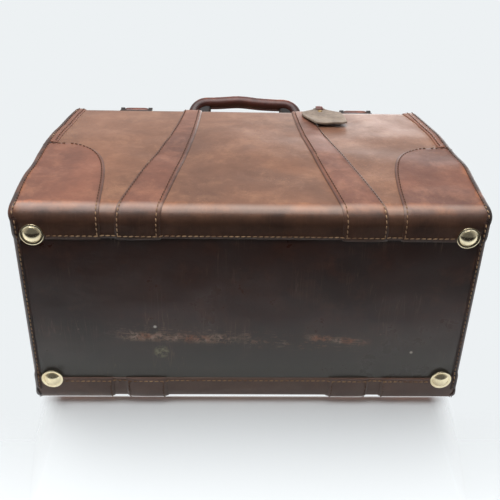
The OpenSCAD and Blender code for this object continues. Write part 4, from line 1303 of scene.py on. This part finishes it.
def chape_inner(h):
    """x of a chape's inner edge, h mm from the pins."""
    edge = HANDLE_SPAN / 2
    upper = edge + 7.5 - CHAPE_WIDTH
    return between(h, [10, 26, 41, 50, 60], [edge - 8.5, edge - 15, upper, upper - 0.3, upper - 1.0])


def chape(face, side):
    """The flat leather between a leg and the roll, as a closed sheet: u round it, v up it."""
    pins, up, wide = handle_axes(face)

    def place(u, v):
        h = 10.5 + (HANDLE_RISE - 12.5) * v
        far = HANDLE_SPAN / 2 + 4.0 - max(h - HANDLE_RISE + HANDLE_BEND, 0) ** 2 / 60
        near = chape_inner(h)
        turn = 2 * math.pi * u
        flat = math.copysign(abs(math.cos(turn)) ** 0.35, math.cos(turn))
        deep = math.copysign(abs(math.sin(turn)) ** 0.75, math.sin(turn))
        x = (near + far) / 2 + (far - near) / 2 * flat
        return Vector((side * x, 0, 0)) + up * h + wide * (CHAPE_HALF_THICK * deep * (1 + 0.5 * v)) + pins

    return capped(grid(36, 26, place))


def chape_seam(face, side):
    """Stitches down a chape's inner edge."""
    pins, up, wide = handle_axes(face)

    def seam(v, off):
        h = 16 + 34 * v
        x = side * (chape_inner(h) + 2.4)
        return Vector((x, 0, 0)) + up * h + wide * (CHAPE_HALF_THICK * (1 + 0.5 * v) * 0.9 + off) + pins

    return seam


def rolled_handle(face, face_name):
    """A handle: the roll, the chapes at its two ends and the stitched welt on its inner side."""
    pins, up, _ = handle_axes(face)
    grip = f"{face_name}_grip"
    fine = {"slot": "red_leather", "length": 3.0, "width": 0.8, "pitch": 4.2}

    def roll_place(u, v):
        middle, inner, wide, out = handle_frame(v, face)
        within, across = between(out, ROLL_STOPS, ROLL_WITHIN), between(out, ROLL_STOPS, ROLL_ACROSS)
        turn = 2 * math.pi * u
        wrinkle = 1 + 0.02 * noise.noise(Vector((v * 60, math.cos(turn), math.sin(turn) + face)))
        return middle + (inner * within * math.cos(turn) + wide * across * math.sin(turn)) * wrinkle

    # Painted shade over the roll's lower half, towards the pins, and over its legs
    def grime(p):
        return 0.95 * held((HANDLE_RISE + hump(p.x, face) - (p - pins).dot(up)) / 5)

    def wear(p):
        return 0.75 * held((abs(p.x) - 20) / 40) * held(((p - pins).dot(up) - HANDLE_RISE + 2) / 8)

    bm = paint(capped(grid(28, 150, roll_place)), grime=grime, wear=wear)
    piece(bm, f"{face_name}_rolled_handle", RED, "red_leather", grip, (f"{face_name}_handle",),
          ease=1.2, steps=3, crisp=60)
    # The chapes under the roll carry painted shade all over, on leather darkened for shade
    bm = paint(join(chape(face, -1), chape(face, 1)), grime=lambda p: 0.9, wear=lambda p: 0.15)
    piece(bm, f"{face_name}_handle_chapes", SHADE_DARKENED_CHAPE, "red_leather", grip, crisp=60)
    sew(f"{face_name}_chape_stitches", grip, [chape_seam(face, -1), chape_seam(face, 1)], **fine)

    def welt_place(u, v):
        middle, inner, wide, out = handle_frame(0.10 + 0.80 * v, face)
        a = (u - 0.5) * 2
        fade = min(v, 1 - v, 0.03) / 0.03
        rise = 3.0 * max(1 - abs(a), 0) ** 0.5 * fade
        return middle + inner * (between(out, ROLL_STOPS, ROLL_WITHIN) - 1.0 + rise) + wide * a * 1.3

    def welt_seam(v, off):
        middle, inner, wide, out = handle_frame(0.13 + 0.74 * v, face)
        return middle + inner * (between(out, ROLL_STOPS, ROLL_WITHIN) + 0.7) + wide * (1.35 + off)

    bm = grid(8, 110, welt_place)
    bmesh.ops.recalc_face_normals(bm, faces=bm.faces[:])
    # The welt, on the roll's underside, carries painted shade
    piece(paint(bm, grime=lambda p: 0.7), f"{face_name}_handle_welt", RED, "red_leather", grip)
    sew(f"{face_name}_handle_stitches", grip, [welt_seam], **fine)


for face, face_name in FACES:
    rolled_handle(face, face_name)


# ---------------------------------------------------------------- straps, billets, keepers

STRAP_X = 134.5
STRAP_WIDTH = 28.0
STRAP_T = 3.0
BILLET_WIDTH = 24.0
BILLET_HALF_T = 1.2
LAY = 0.3
BUCKLE_FAR = 30.2
BUCKLE_WIRE = 3.2
BUCKLE_BAR = 2.5
PIN_Y, PIN_Z = 89.49, 295.58
MID_Z = 337.9
CORNER_Y = 22.5
STRAP_SLOPE = math.atan2(MID_Z - PIN_Z, PIN_Y - CORNER_Y)
END_Y = -52.04
END_Z = MID_Z + (CORNER_Y + END_Y) * math.tan(STRAP_SLOPE)


def down_front(along, out):
    """A point past the strap's end: along down the front slope, and out from it."""
    return (END_Y - along * math.cos(STRAP_SLOPE) - out * math.sin(STRAP_SLOPE),
            END_Z - along * math.sin(STRAP_SLOPE) + out * math.cos(STRAP_SLOPE))


def soft_line(points, radius=9.0):
    """A line through corner points, each corner rounded, as a function of 0 to 1."""
    corners = [Vector((0, *p)) for p in points]
    spots = [corners[0]]
    for a, b, c in zip(corners, corners[1:], corners[2:]):
        reach = min(radius, (a - b).length / 2.2, (c - b).length / 2.2)
        p, q = b + (a - b).normalized() * reach, b + (c - b).normalized() * reach
        for t in np.linspace(0, 1, 9):
            spots.append(p * (1 - t) ** 2 + b * 2 * t * (1 - t) + q * t * t)
    spots.append(corners[-1])
    run = lengths(spots)
    ys, zs = [p.y for p in spots], [p.z for p in spots]
    return lambda v: Vector((0, between(v * run[-1], run, ys), between(v * run[-1], run, zs)))


def line_out(at, v):
    """The way out from a line, square to it."""
    step = at(min(v + STEP, 1)) - at(max(v - STEP, 0))
    return Vector((0, -step.z, step.y)).normalized()


def strap_sheet(at, x, width, thick, columns=10, rows=90, taper=lambda v: 1.0, flip=1):
    """A flat strap laid along a line, its top a little crowned."""
    def place(u, v):
        across = (2 * u - 1) * width / 2 * taper(v)
        crown = 0.35 * (1 - (2 * u - 1) ** 2)
        return at(v) + Vector((across, 0, 0)) + line_out(at, v) * flip * (thick / 2 + crown - 0.3)
    return shift(grid(columns, rows, place), (x, 0, 0))


def rolled_eye(x, y, z, width=STRAP_WIDTH, radius=5.3):
    """The turned-back end of a strap, rolled round its pin."""
    def place(u, v):
        turn = 2 * math.pi * u
        r = radius - 0.9 * abs(2 * v - 1) ** 8
        return Vector((x + (v - 0.5) * width, y + math.cos(turn) * r, z + math.sin(turn) * r))
    return capped(grid(28, 14, place))


strap_line = soft_line([(PIN_Y, PIN_Z), (CORNER_Y, MID_Z), (-CORNER_Y, MID_Z), down_front(0, 0)])

# The billet passes under the buckle's far side, over its bar and up on top of the strap
under_side = -(BUCKLE_WIRE / 2 + 0.4 + BILLET_HALF_T)
over_bar = BUCKLE_BAR + 0.1 + LAY + BILLET_HALF_T
over_strap = STRAP_T / 2 + LAY + BILLET_HALF_T
billet_line = soft_line([
    (-PIN_Y, PIN_Z), down_front(BUCKLE_FAR + 2, under_side), down_front(BUCKLE_FAR - 6.5, under_side),
    down_front(5.6, over_bar), down_front(-2, over_bar), down_front(-6, over_strap),
    (-CORNER_Y - 0.6, MID_Z + over_strap), (2.0, MID_Z + over_strap)], 4.0)


def strap_tip(v):
    return 1 - 0.12 * max(v - 0.97, 0) / 0.03


def billet_tip(v):
    return 1.0 if v < 0.93 else max(math.sqrt(max(1 - ((v - 0.93) / 0.07) ** 2, 0)), 0.05)


def from_strap_edge(p, width):
    """Distance of a point from the nearer edge of a strap."""
    return abs(abs(p.x) - STRAP_X) - width / 2


def closing_strap(side, side_name):
    """A strap and the billet that it buckles to, with their eyes, stitches and keeper."""
    x = side * STRAP_X
    middle = Vector((x, 0, 0))
    strap_body, billet_body = f"{side_name}_strap_piece", f"{side_name}_billet_piece"

    def strap_seam(inset):
        def seam(v, off):
            v = 0.06 + 0.90 * v
            return strap_line(v) + middle + Vector((inset, 0, 0)) - line_out(strap_line, v) * (1.5 + off)
        return seam

    def keeper_place(u, v):
        """A loop of leather round the strap: u round it, v along the strap."""
        w, low, high = 15.0, MID_Z - 1.9, MID_Z + 5.2
        across = between(u, [0, 0.16, 0.84, 1], [-w, -w, w, w])
        z = between(u, [0, 0.16, 0.84, 1], [low, high, high, low])
        z += 0.5 * math.sin(math.pi * u) if 0.16 < u < 0.84 else 0
        return Vector((x + across, -8 + (v - 0.5) * 9, z))

    bm = aim(strap_sheet(strap_line, x, STRAP_WIDTH, STRAP_T, flip=-1, taper=strap_tip), (x, 0, 240))
    paint(bm, wear=lambda p: 0.6 * beside(abs(p.y) - 24, 7) * (0.7 + bumpy(p, 16)),
          grime=lambda p: 0.7 * beside(from_strap_edge(p, STRAP_WIDTH), 1.2))
    piece(bm, f"{side_name}_strap_leather", RED, "red_leather", strap_body, (f"{side_name}_strap",),
          thick=2.7, ease=0.6)
    for eye_y, eye_body, eye_name in ((PIN_Y, strap_body, "strap"), (-PIN_Y, billet_body, "billet")):
        bm = paint(rolled_eye(x, eye_y, PIN_Z), wear=lambda p: 0.4 * (0.5 + bumpy(p, 12)),
                   grime=lambda p: 0.35 + 0.5 * beside(from_strap_edge(p, STRAP_WIDTH), 1.5))
        piece(bm, f"{side_name}_{eye_name}_eye", RED, "red_leather", eye_body, crisp=50)
    sew(f"{side_name}_strap_stitches", strap_body, [strap_seam(-11.4), strap_seam(11.4)],
        slot="red_leather", length=3.0, width=0.9, pitch=4.2)

    bm = strap_sheet(billet_line, x, BILLET_WIDTH, 2 * BILLET_HALF_T, rows=110, taper=billet_tip)
    paint(aim(bm, (x, 0, 240)), grime=lambda p: 0.5 * beside(from_strap_edge(p, BILLET_WIDTH), 1.2))
    piece(bm, f"{side_name}_billet_leather", RED, "red_leather", billet_body, (f"{side_name}_billet",),
          thick=2.1, ease=0.5)
    bm = paint(aim(grid(50, 6, keeper_place), (x, -8, 330)), grime=lambda p: 0.3)
    piece(bm, f"{side_name}_keeper_loop", RED, "red_leather", strap_body, (f"{side_name}_keeper",),
          thick=-1.4, ease=0.4)


for side, side_name in SIDES:
    closing_strap(side, side_name)


def lower_cheek(p):
    """Cheeks worn down to little more than the eye between them."""
    away = Vector((0, p.y - math.copysign(PIN_Y, p.y), p.z - PIN_Z))
    if 7.2 < away.length < 7.8:
        away *= 5.5 / away.length
        return Vector((p.x, math.copysign(PIN_Y, p.y) + away.y, PIN_Z + away.z))
    return p


for node, name in (("strap_anchors", "strap_anchor_leather"), ("billet_anchors", "billet_anchor_leather")):
    eased(node, name, SHADE_DARKENED_CHAPE, "red_leather", "bag_body", 1.2, 3, shape=lower_cheek)


# ---------------------------------------------------------------- luggage tag

TAG_X = -88.0
TAG_LONG = 58
HINGE_Y, HINGE_Z = 101.3, 281.0
TAG_STRAP_T = 1.1
tag_fall = math.atan2(half_depth(SHOULDER_Z - TAG_LONG) - SHOULDER_Y, TAG_LONG)


def tag_half(h):
    """Half the tag's width, h mm above its hinge."""
    return between(h, [-TAG_LONG, -57, -54, -40, -20, -14, -6, -1, 3],
                   [20.5, 22.6, 23.8, 24.0, 23.6, 23.4, 12.5, 7, 6.6])


def tag_place(u, v):
    """Point on the tag: one lower corner is worn away, and it curls along its edges."""
    h = -TAG_LONG + (TAG_LONG + 3) * v
    ragged = 0.7 * noise.noise(Vector((h / 9, 4.0 * round(u), 2.0)))
    x = (2 * u - 1) * (tag_half(h) + ragged * min(abs(2 * u - 1) * 2, 1))
    if x > 0:
        x *= 1 - 0.45 * held((-h - 26) / 32) ** 1.3
    x += 3.0 * h / TAG_LONG
    curl = 1.3 * (2 * u - 1) ** 2 * held(-h / 30) + 0.9 * noise.noise(Vector((x / 16, h / 18, 5)))
    curl *= held((-h - 4) / 12)
    out = 1.2 + max(curl, -0.5) + 1.5 * (h / TAG_LONG) ** 2
    return Vector((TAG_X + x, HINGE_Y + out * math.cos(tag_fall) - h * math.sin(tag_fall),
                   HINGE_Z + h * math.cos(tag_fall) + out * math.sin(tag_fall)))


def in_tag_slot(face):
    """Whether a face of the tag lies in the slot that its strap passes through."""
    p = face.calc_center_median()
    return abs(p.x - TAG_X) < 4.7 and -3.6 < p.z - HINGE_Z < -0.4


bm = aim(grid(30, 40, tag_place), (TAG_X, 60, 250))
bmesh.ops.delete(bm, geom=[f for f in bm.faces if in_tag_slot(f)], context="FACES")
paint(bm, grime=lambda p: 0.6 * beside(HINGE_Z - 1 - p.z, 3), wear=lambda p: 0.4)
piece(bm, "luggage_tag_leather", TAG_HIDE, "tag_leather", "tag", ("luggage_tag",), thick=2.2, ease=0.5)

# The tag's strap comes down the back slope, goes through the slot and back up behind itself
loop_in = SHOULDER_Y + 0.6
loop_out = HINGE_Y + 1.2 + LAY + TAG_STRAP_T
on_slope = [slope_point(1, 0.5 + TAG_X / 400, 1 - t, 0.6 + TAG_STRAP_T / 2)
            for t in np.linspace(0.14, 0.97, 12)]
tag_line = soft_line([(p.y, p.z) for p in on_slope] + [
    (loop_in + TAG_STRAP_T / 2, SHOULDER_Z + 0.8), (loop_in + TAG_STRAP_T / 2, HINGE_Z - 2.3),
    (loop_out - 0.6, HINGE_Z - 2.3), (loop_out - 0.6, HINGE_Z + 4.2), (loop_in + 1.4, HINGE_Z + 4.2)], 1.6)
bm = aim(strap_sheet(tag_line, TAG_X, 8.0, TAG_STRAP_T, 6, 120, flip=-1), (TAG_X, 0, 200))
piece(bm, "tag_strap_leather", RED, "red_leather", None, ("tag_strap",), thick=TAG_STRAP_T, ease=0.3,
      fold=("bag_body", "back_jaw_half", FOLD_START, FOLD_END))


# ---------------------------------------------------------------- metal, kept or eased

for node, body, ease in (
        ("lock_case", "front_jaw_half", 0.9), ("hasp", "hasp_flap", 0.5),
        ("hasp_hinge", "back_jaw_half", 0.35), ("lock_bolt", "bolt", 0.3),
        ("left_buckle", "left_strap_piece", 0.9), ("right_buckle", "right_strap_piece", 0.9),
        ("back_handle_brackets", "back_jaw_half", 0.6), ("front_handle_brackets", "front_jaw_half", 0.6)):
    eased(node, f"{node}_brass", BRASS, "brass", body, ease)

# Pins through the ends, on which the jaws turn: radius and place along the pin
PIVOT_Z = 262.0
PIN_HEAD = 208.0
pin_profile = [(0, 183.0), (3.0, 183.0), (3.0, PIN_HEAD), (7.0, PIN_HEAD), (7.0, PIN_HEAD + 0.5),
               (6.2, PIN_HEAD + 1.3), (4.8, PIN_HEAD + 2.0), (2.6, PIN_HEAD + 2.45), (0, PIN_HEAD + 2.6)]
pins = []
for side in (-1, 1):
    bm = spun(pin_profile)
    lie_down = Matrix.Rotation(side * math.pi / 2, 3, "Y")
    bmesh.ops.rotate(bm, cent=(0, 0, 0), matrix=lie_down, verts=bm.verts[:])
    pins.append(shift(bm, (0, 0, PIVOT_Z)))
piece(join(*pins), "pivot_pins_brass", BRASS, "brass", "bag_body", ("pivot_pins",), crisp=40)

put_together()

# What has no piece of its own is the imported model's, in the finish of its slot
SLOT_FINISH = {"brass": BRASS, "stud_brass": STUD_BRASS, "frame_steel": STEEL, "board": BOARD,
               "brown_leather": BROWN, "dark_leather": DARK, "red_leather": RED, "lining_cloth": CLOTH,
               "tag_leather": TAG_HIDE}
for part in frame["record"]["subparts"]:
    node = frame["nodes"][part["node"]]
    node.data.materials.clear()
    finish = TAG_BRASS if part["node"] == "tag_rivet" else SLOT_FINISH[part["material_slot"]]
    node.data.materials.append(finish)


# ---------------------------------------------------------------- floor, background, light, camera

PALE = tone(237, 241, 243)
# Outputs of the Light Path and Geometry nodes
CAMERA_RAY, MIRROR_RAY, THROUGH_RAY = 0, 3, 6
BACK_SIDE = 6
# The table touches the bulge over the lower front edge. All in metres.
TABLE_Y = -0.1222
TABLE_SIZE, TABLE_LOW = 1.5, -1.46
SKY_STRENGTH = 0.66
SKY_DARKEST = 0.16


def floor_finish(name, reach, mirrored=None):
    """Pale paper that the camera sees from its upper side, and glossy leather sees where it is mirrored."""
    f = Finish(name)
    f.tree.nodes.remove(f.shader)
    rays = f.add("ShaderNodeLightPath")
    from_above = 1 - f.add("ShaderNodeNewGeometry")[BACK_SIDE]
    x, y, z = f.axes()
    near = reach(x, y, z) * rays[CAMERA_RAY]
    colour = PALE
    if mirrored:
        near = near + rays[MIRROR_RAY]
        colour = f.mix(rays[MIRROR_RAY] * mirrored(x, y, z), PALE, tone(40, 38, 38))
    paper = f.add("ShaderNodeBsdfDiffuse", None, {"Color": colour})[0]
    clear = f.add("ShaderNodeBsdfTransparent")[0]
    shown = f.add("ShaderNodeMixShader", None, {0: from_above * near, 1: clear, 2: paper})[0]
    f.feed(f.output.inputs[0], shown)
    return f.material


def plane(name, material, centre, turn, size):
    """A flat square of the stage, turned about the bag's long axis."""
    bm = bmesh.new()
    bmesh.ops.create_grid(bm, x_segments=4, y_segments=4, size=size)
    bmesh.ops.rotate(bm, verts=bm.verts[:], cent=(0, 0, 0), matrix=Matrix.Rotation(turn, 3, "X"))
    mesh = bpy.data.meshes.new(name)
    shift(bm, centre).to_mesh(mesh)
    bm.free()
    mesh.materials.append(material)
    obj = bpy.data.objects.new(name, mesh)
    bpy.context.scene.collection.objects.link(obj)


def table_reach(x, y, z):
    """Where the table shows: in front of the bag, and a strip under its lower edge."""
    in_front = z.levels(0.0, -0.004) * z.levels(-0.004, -0.16)
    under_edge = z.levels(0.019, 0.0165) * x.size().levels(0.218, 0.196)
    return in_front.greater(under_edge)


plane("standing_floor", floor_finish("floor_paper", lambda x, y, z: (x * x + y * y).levels(6.0, 0.3)),
      (0, 0, -0.0002), 0.0, 3.0)
plane("photo_table", floor_finish("table_paper", table_reach, lambda x, y, z: z.levels(-0.13, -0.26)),
      (0, TABLE_Y, TABLE_LOW), -math.pi / 2, TABLE_SIZE)


def studio():
    """A sky that is pale to the camera, and to the bag a soft light that fades downwards."""
    world = bpy.data.worlds.new("studio")
    bpy.context.scene.world = world
    world.use_nodes = True
    sky = Nodes(world.node_tree)
    rays = sky.add("ShaderNodeLightPath")
    way = sky.add("ShaderNodeTexCoord")[0]
    height = sky.add("ShaderNodeSeparateXYZ", None, {0: way})[2]
    glow = sky.add("ShaderNodeMapRange", None, {0: height, 1: -0.75, 2: 0.15, 3: SKY_DARKEST, 4: 1.0})[0]
    soft = sky.add("ShaderNodeBackground", None, {0: glow, 1: SKY_STRENGTH})[0]
    plain = sky.add("ShaderNodeBackground", None, {0: PALE, 1: 1.0})[0]
    seen = rays[CAMERA_RAY].greater(rays[THROUGH_RAY])
    shown = sky.add("ShaderNodeMixShader", None, {0: seen, 1: soft, 2: plain})[0]
    sky.add("ShaderNodeOutputWorld", None, {0: shown})


def lamp(name, at, size, power, aim_at=(0, 0, 0.15)):
    """A square soft box, turned towards the bag."""
    data = bpy.data.lights.new(name, "AREA")
    data.shape = "SQUARE"
    data.size = size
    data.energy = power
    obj = bpy.data.objects.new(name, data)
    obj.location = at
    obj.rotation_mode = "QUATERNION"
    obj.rotation_quaternion = (Vector(aim_at) - Vector(at)).to_track_quat("-Z", "Y")
    bpy.context.scene.collection.objects.link(obj)


studio()
lamp("softbox_over_back", (0.2, 1.5, 0.15), 1.5, 28.5)
lamp("softbox_above", (-0.6, -0.3, 1.7), 1.4, 18)
lamp("fill_front", (0.9, -1.6, 0.6), 1.2, 11)

# The camera's place and directions, and its focal length in pixels of a picture 500 wide
FOCAL = 777.9
PICTURE = 500
SENSOR = 36.0
eye = Vector((23.7, 450.7, -610.7)) * MM
right = Vector((-0.9995, 0.02275, -0.02205))
down = Vector((-0.00777, -0.85082, -0.5254))
forward = Vector((-0.03071, -0.52497, 0.85057))
camera = bpy.data.cameras.new("photo_camera")
camera.sensor_width = SENSOR
camera.lens = FOCAL / PICTURE * SENSOR
camera.clip_start = 0.01
camera.clip_end = 50.0
viewer = bpy.data.objects.new("photo_camera", camera)
viewer.matrix_world = Matrix.Translation(eye) @ Matrix((right, -down, -forward)).transposed().to_4x4()
bpy.context.scene.collection.objects.link(viewer)
bpy.context.scene.camera = viewer
bpy.context.scene.view_settings.view_transform = "Standard"
